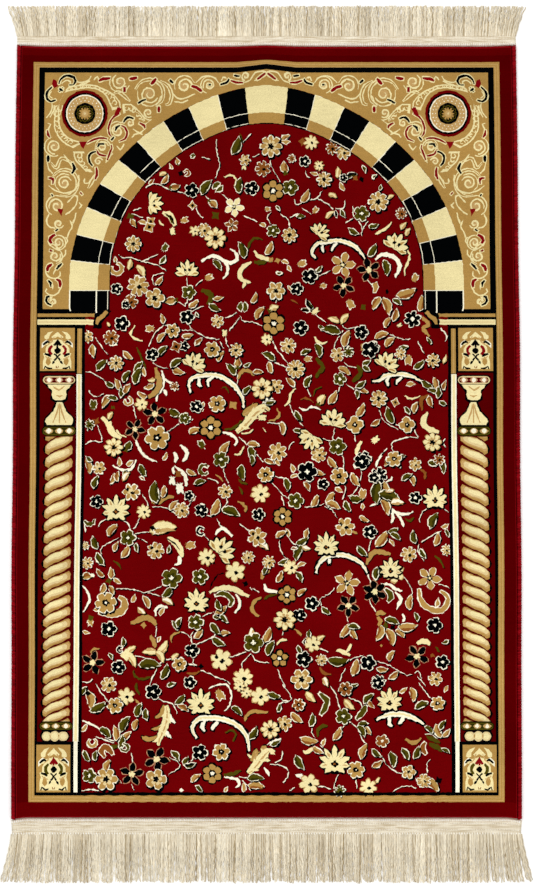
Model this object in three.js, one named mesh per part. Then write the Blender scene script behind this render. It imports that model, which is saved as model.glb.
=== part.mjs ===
// A fringed prayer mat of woven pile, lying flat on the floor with its face up.
// Millimetres. +Z is up, +X is to the right, and +Y runs along the mat to the arch end, its head.
// The pile cloth has an overcast yarn cord along each side and a woven tape with a fringe at each end.
import * as THREE from "three";

// The pile cloth, which is a little wider at the foot than at the head
const PILE_LENGTH = 1066;
const FOOT_HALF_WIDTH = 353.4;
const HEAD_HALF_WIDTH = 345.2;
const PILE_THICKNESS = 8;
const PIECE_GAP = 0.3;

// The outline's unevenness: corners that reach out, and a peak at the lengthwise crease
const FOOT_CORNER = { reach: 3.6, width: 24, power: 1.6 };
const HEAD_CORNER = { reach: 1.9, width: 42, power: 1.4 };
const HEAD_PEAK = { reach: 1.4, width: 46, power: 1 };
const SIDE_RIPPLE = { height: 0.5, waves: 3.5, phase: 0.8 };

// The overcast cord of yarn along each side
const CORD_WIDTH = 6.5;
const CORD_HEIGHT = 6.8;
const CORD_STEPS = 26;

// The pile's edge, from the floor up: how far each ring lies inside the outline, and its height
const PILE_EDGE_RINGS = [
  { inset: 0.0, height: 0.0 },
  { inset: 0.0, height: 4.8 },
  { inset: 0.7, height: 6.9 },
  { inset: 2.6, height: PILE_THICKNESS },
];
const ACROSS_STATIONS = [-1, -0.97, -0.93, -0.85, -0.6, -0.3, -0.12, 0, 0.12, 0.3, 0.6, 0.85, 0.93, 0.97, 1];
const ALONG_STATIONS = [0, 0.03, 0.1, 0.2, 0.3, 0.4, 0.5, 0.6, 0.7, 0.8, 0.9, 0.97, 1];

// The fringe at each end: a woven tape and the strands that hang from its outer side
const STRANDS_PER_END = 145;
const STRAND_GAP = 0.7;
const TAPE_THICKNESS = 2;
const STRAND_STEPS = [
  { reach: 0.34, width: 0.9, height: 0.95 },
  { reach: 0.72, width: 0.8, height: 0.85 },
  { reach: 1.0, width: 0.42, height: 0.55 },
];
const STRAND_TOP_SHARE = 0.62;
const FLARE_FADE = 36;
const FLARE_CURVE = 1.5;
const SWAY = { height: 1.1, length: 41, lean: 1.6 };
const FRINGES = [
  { name: "head_fringe", side: 1, tape: 15.2, taper: 0.4, strand: 41, flare: 17.5, ragged: 0.05, seed: 11 },
  { name: "foot_fringe", side: -1, tape: 23.6, taper: 1.6, strand: 66, flare: 20, ragged: 0.08, seed: 29 },
];

const PILE_COLOR = 0x640409;
const CORD_COLOR = 0x8e0f1b;
const FRINGE_COLOR = 0xdcd1b6;

// A repeatable number from 0 to 1 for each whole number
function scatter(index, seed) {
  const wave = Math.sin(index * 12.9898 + seed * 78.233) * 43758.5453;
  return wave - Math.floor(wave);
}

// A bump that is 1 at the middle and fades to 0 at its width
function fade(distance, { reach, width, power }) {
  return reach * Math.max(0, 1 - distance / width) ** power;
}

function halfWidth(along) {
  const taper = FOOT_HALF_WIDTH - (FOOT_HALF_WIDTH - HEAD_HALF_WIDTH) * along ** 2;
  const wave = Math.sin(2 * Math.PI * SIDE_RIPPLE.waves * along + SIDE_RIPPLE.phase);
  return taper + SIDE_RIPPLE.height * wave * along * (1 - along) * 4;
}

function footEdge(x) {
  return -fade(Math.max(0, halfWidth(0) - Math.abs(x)), FOOT_CORNER);
}

function headEdge(x) {
  const corner = fade(Math.max(0, halfWidth(1) - Math.abs(x)), HEAD_CORNER);
  return PILE_LENGTH + corner + fade(Math.abs(x), HEAD_PEAK);
}

function endEdge(x, side) {
  return side > 0 ? headEdge(x) : footEdge(x);
}

function solidMesh(name, points, faces, color) {
  const geometry = new THREE.BufferGeometry();
  geometry.setAttribute("position", new THREE.Float32BufferAttribute(points.flat(), 3));
  geometry.setIndex(faces.flat());
  geometry.computeVertexNormals();
  const material = new THREE.MeshStandardMaterial({ color, roughness: 0.95, metalness: 0 });
  const mesh = new THREE.Mesh(geometry, material);
  mesh.name = name;
  return mesh;
}

// Two triangles of the quad a, b, c, d, which runs anticlockwise seen from outside
function quad(a, b, c, d) {
  return [
    [a, b, c],
    [a, c, d],
  ];
}

// Skin between rings of equal length; each ring runs anticlockwise seen from the last one
function skinFaces(ringStarts, count) {
  const faces = [];
  for (let ring = 0; ring + 1 < ringStarts.length; ring += 1) {
    const low = ringStarts[ring];
    const high = ringStarts[ring + 1];
    for (let i = 0; i < count; i += 1) {
      const next = (i + 1) % count;
      faces.push(...quad(low + i, low + next, high + next, high + i));
    }
  }
  return faces;
}

function pilePoint(across, along, inset, height) {
  const x = across * (halfWidth(along) - CORD_WIDTH - PIECE_GAP - inset);
  const foot = footEdge(x) + inset;
  const head = headEdge(x) - inset;
  return [x, foot + (head - foot) * along, height];
}

// The stations round the cloth's rim, anticlockwise seen from above
function rimStations() {
  const acrossLast = ACROSS_STATIONS.length - 1;
  const alongLast = ALONG_STATIONS.length - 1;
  const rim = [];
  for (let i = 0; i < acrossLast; i += 1) rim.push([i, 0]);
  for (let j = 0; j < alongLast; j += 1) rim.push([acrossLast, j]);
  for (let i = acrossLast; i > 0; i -= 1) rim.push([i, alongLast]);
  for (let j = alongLast; j > 0; j -= 1) rim.push([0, j]);
  return rim;
}

function pileCloth() {
  const points = [];
  const faces = [];
  const rim = rimStations();
  const ringStarts = PILE_EDGE_RINGS.map(({ inset, height }) => {
    const start = points.length;
    rim.forEach(([i, j]) => points.push(pilePoint(ACROSS_STATIONS[i], ALONG_STATIONS[j], inset, height)));
    return start;
  });
  faces.push(...skinFaces(ringStarts, rim.length));

  // The face and the underside are grids whose rims are the last and the first ring
  const grids = [
    { ring: PILE_EDGE_RINGS.length - 1, up: true },
    { ring: 0, up: false },
  ];
  grids.forEach(({ ring, up }) => {
    const index = ACROSS_STATIONS.map(() => []);
    rim.forEach(([i, j], k) => {
      index[i][j] = ringStarts[ring] + k;
    });
    const { inset, height } = PILE_EDGE_RINGS[ring];
    ACROSS_STATIONS.forEach((across, i) =>
      ALONG_STATIONS.forEach((along, j) => {
        if (index[i][j] !== undefined) return;
        index[i][j] = points.length;
        points.push(pilePoint(across, along, inset, height));
      }),
    );
    for (let i = 0; i + 1 < ACROSS_STATIONS.length; i += 1) {
      for (let j = 0; j + 1 < ALONG_STATIONS.length; j += 1) {
        const corners = [index[i][j], index[i + 1][j], index[i + 1][j + 1], index[i][j + 1]];
        faces.push(...quad(...(up ? corners : corners.reverse())));
      }
    }
  });
  return solidMesh("mat_body", points, faces, PILE_COLOR);
}

// Half of a round cord that lies on the floor: shares of its width and height, anticlockwise
const CORD_SECTION = [
  { out: -0.5, up: 0 },
  { out: 0.5, up: 0 },
  { out: 0.5, up: 0.5 },
  { out: 0.36, up: 0.84 },
  { out: 0.0, up: 1 },
  { out: -0.36, up: 0.84 },
  { out: -0.5, up: 0.5 },
];

function sideCord(name, side) {
  const points = [];
  const ringStarts = [];
  for (let step = 0; step <= CORD_STEPS; step += 1) {
    const along = step / CORD_STEPS;
    const middle = side * (halfWidth(along) - CORD_WIDTH / 2);
    ringStarts.push(points.length);
    CORD_SECTION.forEach(({ out, up }) => {
      const x = middle + out * CORD_WIDTH;
      const foot = footEdge(x);
      points.push([x, foot + (headEdge(x) - foot) * along, up * CORD_HEIGHT]);
    });
  }
  const count = CORD_SECTION.length;
  const faces = skinFaces([...ringStarts].reverse(), count);
  const last = ringStarts[CORD_STEPS];
  for (let i = 1; i + 1 < count; i += 1) {
    faces.push([0, i, i + 1], [last, last + i + 1, last + i]);
  }
  return solidMesh(name, points, faces, CORD_COLOR);
}

// How far a strand leans sideways from its root at a share of its length
function strandLean(rootX, share, spec, half) {
  const inside = half - Math.abs(rootX);
  const flare = Math.sign(rootX) * spec.flare * Math.exp(-inside / FLARE_FADE) * share ** FLARE_CURVE;
  const wave = Math.sin((2 * Math.PI * rootX) / SWAY.length + spec.seed + SWAY.lean * share);
  return flare + SWAY.height * wave * share;
}

// One strand's ring of four points: its foot lies on the floor and its top is narrower
function strandRing(x, y, width, height, side) {
  const top = (width * STRAND_TOP_SHARE) / 2;
  const foot = width / 2;
  return [
    [x - side * foot, y, 0],
    [x + side * foot, y, 0],
    [x + side * top, y, height],
    [x - side * top, y, height],
  ];
}

function fringe(spec) {
  const { name, side } = spec;
  const half = (side > 0 ? HEAD_HALF_WIDTH : FOOT_HALF_WIDTH) - PIECE_GAP;
  const pitch = (2 * half) / STRANDS_PER_END;
  const rootWidth = pitch - STRAND_GAP;
  const points = [];
  const faces = [];

  // The tape has a section at each side of each strand's root
  const stations = [];
  for (let k = 0; k < STRANDS_PER_END; k += 1) {
    const middle = -side * (half - pitch * (k + 0.5));
    stations.push(middle - (side * rootWidth) / 2, middle + (side * rootWidth) / 2);
  }
  const pileEnd = side > 0 ? PILE_LENGTH : 0;
  const outerY = pileEnd + side * (PIECE_GAP + spec.tape);
  const ringStarts = stations.map((x) => {
    const start = points.length;
    const innerY = endEdge(x, side) + side * PIECE_GAP;
    const outerX = x * (1 - spec.taper / half);
    points.push([x, innerY, 0], [outerX, outerY, 0]);
    points.push([outerX, outerY, TAPE_THICKNESS], [x, innerY, TAPE_THICKNESS]);
    return start;
  });
  const [lowIn, lowOut, highOut, highIn] = [0, 1, 2, 3];
  for (let s = 0; s + 1 < stations.length; s += 1) {
    const a = ringStarts[s];
    const b = ringStarts[s + 1];
    faces.push(...quad(a + lowIn, a + lowOut, b + lowOut, b + lowIn));
    faces.push(...quad(a + highIn, b + highIn, b + highOut, a + highOut));
    faces.push(...quad(a + lowIn, b + lowIn, b + highIn, a + highIn));
    const betweenStrands = s % 2 === 1;
    if (betweenStrands) faces.push(...quad(a + lowOut, a + highOut, b + highOut, b + lowOut));
  }
  const first = ringStarts[0];
  const last = ringStarts[stations.length - 1];
  faces.push(...quad(first + lowIn, first + highIn, first + highOut, first + lowOut));
  faces.push(...quad(last + lowIn, last + lowOut, last + highOut, last + highIn));

  // Each strand grows out of the tape's outer side, level on the floor
  for (let k = 0; k < STRANDS_PER_END; k += 1) {
    const a = ringStarts[2 * k];
    const b = ringStarts[2 * k + 1];
    const rootX = (points[a + lowOut][0] + points[b + lowOut][0]) / 2;
    const length = spec.strand * (1 - spec.ragged * scatter(k, spec.seed));
    let ring = [a + lowOut, b + lowOut, b + highOut, a + highOut];
    STRAND_STEPS.forEach(({ reach, width, height }) => {
      const x = rootX + strandLean(rootX, reach, spec, half);
      const y = outerY + side * length * reach;
      const start = points.length;
      points.push(...strandRing(x, y, rootWidth * width, TAPE_THICKNESS * height, side));
      const next = [start, start + 1, start + 2, start + 3];
      for (let i = 0; i < 4; i += 1) {
        const j = (i + 1) % 4;
        faces.push(...quad(ring[i], next[i], next[j], ring[j]));
      }
      ring = next;
    });
    faces.push(...quad(ring[0], ring[3], ring[2], ring[1]));
  }
  return solidMesh(name, points, faces, FRINGE_COLOR);
}

const mat = new THREE.Group();
mat.add(pileCloth());
mat.add(sideCord("side_cord_left", -1));
mat.add(sideCord("side_cord_right", 1));
FRINGES.forEach((spec) => mat.add(fringe(spec)));

// The origin is the middle of the underside's box
const box = new THREE.Box3().setFromObject(mat);
const middle = box.getCenter(new THREE.Vector3());
mat.position.set(-middle.x, -middle.y, -box.min.z);

export default mat;
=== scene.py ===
"""Dresses the fringed prayer mat: woven pile, overcast sides, end tapes and fringe, and the stage."""
import math
import random

import bpy
import numpy as np
from bpy.props import FloatProperty, FloatVectorProperty, IntProperty, PointerProperty
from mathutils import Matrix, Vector
from mathutils.geometry import delaunay_2d_cdt


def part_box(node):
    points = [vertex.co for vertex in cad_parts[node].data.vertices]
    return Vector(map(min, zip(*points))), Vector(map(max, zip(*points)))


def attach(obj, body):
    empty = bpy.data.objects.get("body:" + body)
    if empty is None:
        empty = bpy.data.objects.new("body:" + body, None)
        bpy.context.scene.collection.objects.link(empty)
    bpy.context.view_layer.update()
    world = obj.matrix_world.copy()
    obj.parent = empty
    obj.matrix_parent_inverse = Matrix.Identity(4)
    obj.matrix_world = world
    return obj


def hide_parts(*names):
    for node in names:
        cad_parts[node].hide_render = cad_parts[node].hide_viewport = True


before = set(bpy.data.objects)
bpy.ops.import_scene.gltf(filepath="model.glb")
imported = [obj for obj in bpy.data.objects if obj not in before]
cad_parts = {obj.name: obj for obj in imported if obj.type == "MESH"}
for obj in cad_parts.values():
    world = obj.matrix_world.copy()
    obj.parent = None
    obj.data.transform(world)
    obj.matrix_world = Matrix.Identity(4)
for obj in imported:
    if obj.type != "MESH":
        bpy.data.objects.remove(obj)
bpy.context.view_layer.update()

bl_info = {
    "name": "Fringed prayer mat",
    "version": (1, 0, 0),
    "blender": (4, 5, 0),
    "location": "View3D > Sidebar > Prayer mat",
    "description": "Weaves a flat pile mat with an arch, two columns, overcast sides and fringed ends",
    "category": "Object",
}

MM = 0.001

# The cloth's outline in millimetres, as the frame has it
PILE_LENGTH = 1066.0
FOOT_HALF_WIDTH = 353.4
HEAD_HALF_WIDTH = 345.2
CHART_HALF_WIDTH = 350.0
FOOT_CORNER = (3.6, 24.0, 1.6)
HEAD_CORNER = (1.9, 42.0, 1.4)
HEAD_PEAK = (1.4, 46.0, 1.0)
SIDE_RIPPLE = (0.5, 3.5, 0.8)
CORD_WIDTH = 6.5
CORD_HEIGHT = 6.8
PIECE_GAP = 0.3
EDGE_INSET = 1.3
FOOT_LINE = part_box("side_cord_left")[0].y / MM + FOOT_CORNER[0]

# One knot of the weave: edges of the design step from knot to knot
KNOT = 0.9
RIM = 1.0


# Yarn colours as they look in daylight, turned into Blender's linear values
def dyed(code):
    """The linear colour of a yarn from its six-figure dye code."""
    values = [int(code[i:i + 2], 16) / 255 for i in (0, 2, 4)]
    return tuple(v / 12.92 if v <= 0.04045 else ((v + 0.055) / 1.055) ** 2.4 for v in values)


YARNS = {yarn: dyed(code) for yarn, code in {
    "border": "510002", "hem": "5d0103", "field": "6a0205", "crimson": "830a10", "tan": "b48c4a",
    "sand": "c6a064", "straw": "e2ca92", "cream": "f3e3a8", "ivory": "fff8dc", "black": "030405",
    "olive": "4e450c", "moss": "332f08", "rust": "8c5220", "rose": "c0906a", "backing": "b9a888",
}.items()}


def fade(distance, bump):
    """A bump that is 1 at its middle and dies away at its width."""
    reach, width, power = bump
    return reach * np.maximum(0, 1 - distance / width) ** power


def half_width(along):
    """Half the cloth's width at a share of its length from the foot."""
    taper = FOOT_HALF_WIDTH - (FOOT_HALF_WIDTH - HEAD_HALF_WIDTH) * along ** 2
    height, waves, phase = SIDE_RIPPLE
    return taper + height * np.sin(2 * np.pi * waves * along + phase) * along * (1 - along) * 4


def foot_edge(x):
    return -fade(np.maximum(0, half_width(0) - np.abs(x)), FOOT_CORNER)


def head_edge(x):
    corner = fade(np.maximum(0, half_width(1) - np.abs(x)), HEAD_CORNER)
    return PILE_LENGTH + corner + fade(np.abs(x), HEAD_PEAK)


# Shapes on the chart: each is an outline of (u, v) points in millimetres


def marks(text):
    """Rows of numbers from text: commas part the numbers of a row, blanks part the rows."""
    return [tuple(float(n) if "." in n else int(n) for n in row.split(",")) for row in text.split()]


def routes(text):
    """Routes from text, parted by semicolons; a broad stroke has its width before its points."""
    return [marks(route) for route in text.split(";")]


def placed(points, u, v, turn=0.0):
    """Points turned in degrees anticlockwise and moved to (u, v)."""
    c, s = math.cos(math.radians(turn)), math.sin(math.radians(turn))
    return np.asarray(points, float) @ np.array([[c, s], [-s, c]]) + (u, v)


def oval(length, width, bend=0.0, widest=0.42):
    """A pointed leaf along +u, centred, which bows sideways by bend."""
    share = np.linspace(0, 1, 7 if length < 15 else 9)
    half = width / 2 * np.sin(np.pi * share ** (math.log(0.5) / math.log(widest))) ** 0.85
    spine = length * (share - 0.5)
    bow = bend * (4 * share * (1 - share) - 0.5)
    upper = np.stack([spine, bow + half], 1)
    lower = np.stack([spine, bow - half], 1)[::-1]
    return np.concatenate([upper, lower[1:-1]])


def disc(radius, count=10):
    angle = np.arange(count) * 2 * np.pi / count
    return np.stack([radius * np.cos(angle), radius * np.sin(angle)], 1)


def petalled(radius, petals, depth, pointed=False, phase=0.0):
    """A flower's outline, with round or pointed petals of the given depth."""
    per_petal = 6 if radius * 6 / petals > 5 else 4
    angle = np.linspace(0, 2 * np.pi, petals * per_petal, endpoint=False)
    swing = np.abs(np.sin(petals * angle / 2))
    if pointed:
        reach = 1 - depth * swing ** 0.75
    else:
        reach = 1 - depth * (1 - (1 - swing ** 2) ** 0.28)
    angle = angle + math.radians(phase)
    return np.stack([radius * reach * np.cos(angle), radius * reach * np.sin(angle)], 1)


def smooth(route, step=2.8):
    """A smooth run of points through the route's points."""
    pts = [np.array(p, float) for p in route]
    pts = [2 * pts[0] - pts[1]] + pts + [2 * pts[-1] - pts[-2]]
    run = []
    for a, b, c, d in zip(pts, pts[1:], pts[2:], pts[3:]):
        count = max(1, int(np.linalg.norm(c - b) / step))
        for k in range(count):
            t = k / count
            curve = 2 * b + (c - a) * t + (2 * a - 5 * b + 4 * c - d) * t ** 2
            curve += (3 * b - a - 3 * c + d) * t ** 3
            run.append(curve / 2)
    run.append(pts[-2])
    return np.array(run)


def heading(run):
    """The way a run of points goes at each of them, and the way square to it."""
    way = np.gradient(run, axis=0)
    way /= np.maximum(np.linalg.norm(way, axis=1, keepdims=True), 1e-6)
    return way, np.stack([-way[:, 1], way[:, 0]], 1)


def ribbon(route, width, ends=(0.45, 0.45), grow=0.0, shift=(0.0, 0.0)):
    """The outline of a stroke of yarn along a route, narrower at its ends."""
    run = smooth(route)
    way, side = heading(run)
    share = np.linspace(0, 1, len(run))
    swell = np.interp(share, [0, 0.28, 0.72, 1], [ends[0], 1, 1, ends[1]])
    half = (width / 2 * swell + grow)[:, None]
    run[0] -= way[0] * grow
    run[-1] += way[-1] * grow
    outline = np.concatenate([run + side * half, (run - side * half)[::-1]])
    return outline + shift


def spiral(u, v, inner, outer, start, turns):
    """A route that winds outward from near (u, v); negative turns run clockwise."""
    share = np.linspace(0, 1, max(6, int(abs(turns) * 12)))
    angle = math.radians(start) + 2 * np.pi * turns * share
    radius = inner + (outer - inner) * share
    return [(u + r * math.cos(a), v + r * math.sin(a)) for r, a in zip(radius, angle)]


def box_outline(left, low, right, high):
    return [(left, low), (right, low), (right, high), (left, high)]


class Chart:
    """The weaver's chart: outlines filled with yarn, each laid over those before it."""

    def __init__(self):
        self.shapes = []
        self.mirror = False

    def put(self, yarn, shape, u, v, turn=0.0):
        """Lays a shape with its middle at (u, v)."""
        self.lay(yarn, placed(shape, u, v, turn))

    def box(self, yarn, left, low, right, high, spacing=4.0):
        self.lay(yarn, box_outline(left, low, right, high), spacing)

    def lay(self, yarn, outline, spacing=4.0):
        """Adds an outline, stepped from knot to knot, and its mirror image when asked."""
        outline = np.asarray(outline, float)
        self.shapes.append((yarn, self.knotted(outline, spacing)))
        if self.mirror:
            flipped = outline * (-1, 1)
            self.shapes.append((yarn, self.knotted(flipped[::-1], spacing)))

    @staticmethod
    def knotted(outline, spacing):
        ahead = np.roll(outline, -1, axis=0)
        points = []
        for a, b in zip(outline, ahead):
            count = max(1, math.ceil(np.linalg.norm(b - a) / spacing))
            points.extend(a + (b - a) * k / count for k in range(count))
        points = np.round(np.array(points) / KNOT) * KNOT
        points = points[np.any(points != np.roll(points, 1, axis=0), axis=1)]
        for turn in (0, 1):
            before, after = np.roll(points, 1, axis=0), np.roll(points, -1, axis=0)
            chord, step = after - before, points - before
            reach = np.maximum(np.linalg.norm(chord, axis=1), 1e-6)
            off_line = np.abs(chord[:, 0] * step[:, 1] - chord[:, 1] * step[:, 0]) / reach
            spare = (off_line < 0.66) & (reach < spacing + 1) & (np.arange(len(points)) % 2 == turn)
            if len(points) > 6:
                points = points[~spare]
        return points

    def stroke(self, yarn, width, route, ends=(0.45, 0.45), shadow=True, rim=None):
        """A stroke of yarn with a dark shadow beside it, or a rim all round it."""
        if rim:
            self.lay(rim, ribbon(route, width, ends, grow=RIM))
        elif shadow:
            self.lay("black", ribbon(route, width, ends, shift=(0.9, -0.9)))
        self.lay(yarn, ribbon(route, width, ends))

    def vine(self, route, width=1.1, yarn="ivory"):
        """A stem: a light line with a dark line under it."""
        self.lay("black", ribbon(route, width + 0.7, (0.8, 0.8), shift=(0.8, -1.0)))
        self.lay(yarn, ribbon(route, width, (0.8, 0.8)))


# The flowers and leaves of the field, each drawn as the knots show it
DEEPER = {"tan": "rust", "olive": "moss", "cream": "sand", "ivory": "sand", "rust": "tan",
          "black": "moss"}


def leaf(chart, yarn, u, v, length, turn, plump=0.42):
    """A leaf with a light rim, a shaded half and a slight bow."""
    bow = length * 0.09 * (1 if (u * 7 + v * 3) % 2 < 1 else -1)
    width = length * plump
    rim = "ivory" if yarn not in ("ivory", "cream") else "sand"
    if yarn in ("cream", "ivory", "olive") or length > 12:
        chart.put("black", oval(length + 4.0, width + 3.6, bow), u + 1.2, v - 1.3, turn)
    chart.put(rim, oval(length + 2 * RIM, width + 2 * RIM, bow), u, v, turn)
    chart.put(yarn, oval(length, width, bow), u, v, turn)
    if length > (12 if yarn == "tan" else 9):
        half = oval(length * 0.9, width * 0.38, bow) + (0, -width * 0.28)
        chart.put(DEEPER[yarn], half, u, v, turn)


def bud(chart, yarn, u, v, length, turn):
    """A plump bud held in a small cup."""
    leaf(chart, yarn, u, v, length, turn, 0.62)
    base = placed([(-length * 0.52, 0)], u, v, turn)[0]
    chart.put("olive", petalled(length * 0.24, 3, 0.5), *base, turn)


def posy(chart, yarn, u, v, radius, turn=0):
    """A small flower of five round petals with a light middle."""
    chart.put("black", petalled(radius + 1.2, 5, 0.3), u + 1.0, v - 1.1, turn)
    chart.put("ivory", petalled(radius + 0.6, 5, 0.32), u, v, turn)
    chart.put(yarn, petalled(radius - 0.4, 5, 0.36), u, v, turn)
    if yarn == "olive":
        chart.put("moss", petalled(radius * 0.55, 5, 0.5), u, v, turn)
    chart.put("ivory", petalled(radius * 0.24, 4, 0.5), u, v)


def daisy(chart, yarn, u, v, radius, petals=8):
    """Round petals about a dark middle."""
    chart.put("black", petalled(radius + 2.0, petals, 0.26), u + 1.2, v - 1.3)
    light = "ivory" if yarn == "tan" else "sand"
    chart.put(light, petalled(radius + 0.2, petals, 0.36), u, v)
    chart.put(yarn, petalled(radius - 0.8, petals, 0.46), u, v)
    if radius > 8:
        inner = petalled(radius * 0.56, petals, 0.6, phase=12)
        chart.put("sand" if yarn == "cream" else "straw", inner, u, v)
    chart.put("black", petalled(radius * 0.31, 5, 0.4), u, v)


def rose(chart, yarn, u, v, radius, petals=6):
    """Broad petals with light edges and a dark star at the heart."""
    chart.put("black", petalled(radius + 1.8, petals, 0.22, phase=9), u + 1.2, v - 1.3)
    chart.put("ivory", petalled(radius + 0.4, petals, 0.28, phase=9), u, v)
    chart.put(yarn, petalled(radius - 0.6, petals, 0.4, phase=9), u, v)
    chart.put("black", petalled(radius * 0.36, 5, 0.3), u, v)
    chart.put("ivory", disc(radius * 0.1, 4), u, v)


def discs(chart, yarn, u, v, radius):
    """Five or six round petals on a dark ground."""
    count = 6 if radius > 13.5 else 5
    chart.put("black", petalled(radius + 0.8, count, 0.2, phase=90), u, v)
    for k in range(count):
        a = 2 * math.pi * k / count + math.pi / 2
        middle = (u + radius * 0.6 * math.cos(a), v + radius * 0.6 * math.sin(a))
        chart.put(yarn, disc(radius * 0.3, 12), *middle)
    chart.put("ivory", petalled(radius * 0.2, 5, 0.3), u, v)


def star(chart, yarn, u, v, radius, petals=5):
    """A pointed flower with a thin light edge and a light middle."""
    turn = (u * 3 + v) % 72
    edge = "rose" if yarn == "black" else "ivory"
    for tone, grow in ((edge, 0.9), (yarn, 0.0)):
        for k in range(petals):
            petal = oval(radius + grow, radius * 0.52 + grow * 1.8, 0, 0.6) + (radius / 2, 0)
            chart.put(tone, petal, u, v, turn + 360 / petals * k)
    heart_yarn = "black" if yarn != "black" else "cream"
    chart.put(heart_yarn, petalled(radius * 0.27, 5, 0.4, phase=turn), u, v)
    if yarn != "black":
        chart.put("cream", petalled(radius * 0.12, 4, 0.3), u, v)


def sunburst(chart, yarn, u, v, radius, turn=90):
    """A palmette of pointed light petals that open to one side of a dark heart."""
    radius *= 0.92
    heart = placed([(-radius * 0.28, 0)], u, v, turn)[0]
    for tone, grow, shift in (("black", 3.4, (0.5, -0.7)), (yarn, 0.0, (0, 0))):
        for k in range(9):
            lean = (k - 4) * 33
            reach = radius * (1.32 - 0.105 * abs(k - 4)) + grow
            petal = oval(reach, radius * 0.36 + grow * 1.2, 0, 0.62) + (reach / 2 - grow * 0.4, 0)
            chart.lay(tone, placed(petal, *heart, turn + lean) + shift)
        chart.lay(tone, placed(disc(radius * 0.52 + grow, 12), *heart) + shift)
    for k in (1, 3, 5, 7):
        lean = (k - 4) * 33
        vein = oval(radius * 0.42, radius * 0.12) + (radius * 0.72, 0)
        chart.put("sand", vein, *heart, turn + lean)
    chart.put("black", petalled(radius * 0.25, 4, 0.3), *heart, turn)
    chart.put("rust", disc(radius * 0.09, 5), *heart, turn)


def bloom(chart, yarn, u, v, radius, dots=1):
    """A ragged open blossom with one or two dark eyes."""
    petals = 6 + int(u + v) % 3
    phase = (u * 5 + v * 3) % 60
    light = "ivory" if yarn != "cream" else "sand"
    chart.put("black", petalled(radius + 1.6, petals, 0.35, True, phase), u + 1.0, v - 1.1)
    chart.put(light, petalled(radius + 0.5, petals, 0.4, phase=phase), u, v)
    chart.put(yarn, petalled(radius - 0.6, petals, 0.5, phase=phase), u, v)
    if yarn == "tan":
        chart.put("straw", petalled(radius * 0.6, petals, 0.55, True, phase + 20), u - 0.6, v + 0.6)
    if yarn != "black":
        chart.put("black", petalled(radius * 0.23, 4, 0.3), u + radius * 0.12, v - radius * 0.1)
        if dots > 1:
            chart.put("black", petalled(radius * 0.2, 4, 0.3), u - radius * 0.42, v + radius * 0.3)
    else:
        chart.put("ivory", petalled(radius * 0.25, 4, 0.5), u, v)


def lotus(chart, yarn, u, v, radius, turn=90):
    """A fan of petals in two yarns with two dark eyes."""
    radius *= 0.88
    root = placed([(-radius * 0.5, 0)], u, v, turn)[0]
    for tone, grow in (("black", 3.2), (yarn, 0.0)):
        for k in range(7):
            lean = (k - 3) * 27
            reach = radius * (1.5 - 0.1 * abs(k - 3)) + grow
            petal = oval(reach, radius * 0.42 + grow * 1.3, 0, 0.66) + (reach / 2 - grow * 0.4, 0)
            chart.put(tone, petal, *root, turn + lean)
    for k in (0, 2, 4, 6):
        lean = (k - 3) * 27
        inner = oval(radius * 0.75, radius * 0.2, 0, 0.6) + (radius * 0.72, 0)
        chart.put("tan", inner, *root, turn + lean)
    for side in (-1, 1):
        eye = placed([(radius * 0.5, side * radius * 0.22)], *root, turn)[0]
        chart.put("black", petalled(radius * 0.16, 4, 0.3), *eye)


def sprig(chart, yarn, u, v, size, turn=0):
    """Four small lobes that spread from a stalk."""
    light = "ivory" if yarn not in ("ivory", "cream") else "black"
    for tone, grow in ((light, 1.0), (yarn, 0.0)):
        for lean, share in ((-58, 0.7), (-22, 0.95), (18, 1.0), (55, 0.72)):
            reach = size * share + grow
            lobe = oval(reach, size * 0.34 + grow * 1.4, 0, 0.6) + (reach / 2 - size * 0.35, 0)
            chart.put(tone, lobe, u, v, turn + lean)


def ring(chart, yarn, u, v, size, turn=0):
    """A small open curl."""
    route = spiral(u, v, size * 0.62, size * 0.62, turn + 40, 0.78)
    chart.stroke(yarn, size * 0.42, route, rim="ivory")


def spot(chart, yarn, u, v, radius):
    chart.put(yarn, petalled(radius * 1.15, 4, 0.4, True, u * 7 % 90), u, v)


def eye(chart, yarn, u, v, radius):
    spot(chart, "ivory", u, v, radius + 1)
    spot(chart, yarn, u, v, radius)
    spot(chart, "black", u, v, radius * 0.4)


def heart(chart, yarn, u, v, size, turn=0):
    """Two broad lobes side by side with a light rim."""
    for tone, grow in (("ivory", RIM), (yarn, 0.0)):
        for side in (-1, 1):
            lobe = oval(size + grow * 2, size * 0.52 + grow * 2, side * size * 0.1) + (0, side * size * 0.24)
            chart.put(tone, lobe, u, v, turn)
    chart.put("ivory", oval(size * 0.7, 0.9), u, v, turn)


def frond(chart, route, width, hooks=()):
    """A long light plume with a dark edge all round and short hooks along it."""
    for tone, grow in (("black", 2.4), ("ivory", 0.0)):
        chart.lay(tone, ribbon(route, width, (0.35, 0.35), grow=grow))
        for hook in hooks:
            chart.lay(tone, ribbon(hook, width * 0.72, (0.7, 0.3), grow=grow))
    chart.lay("cream", ribbon(route, width * 0.4, (0.2, 0.2), shift=(-0.4, 0.5)))


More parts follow.
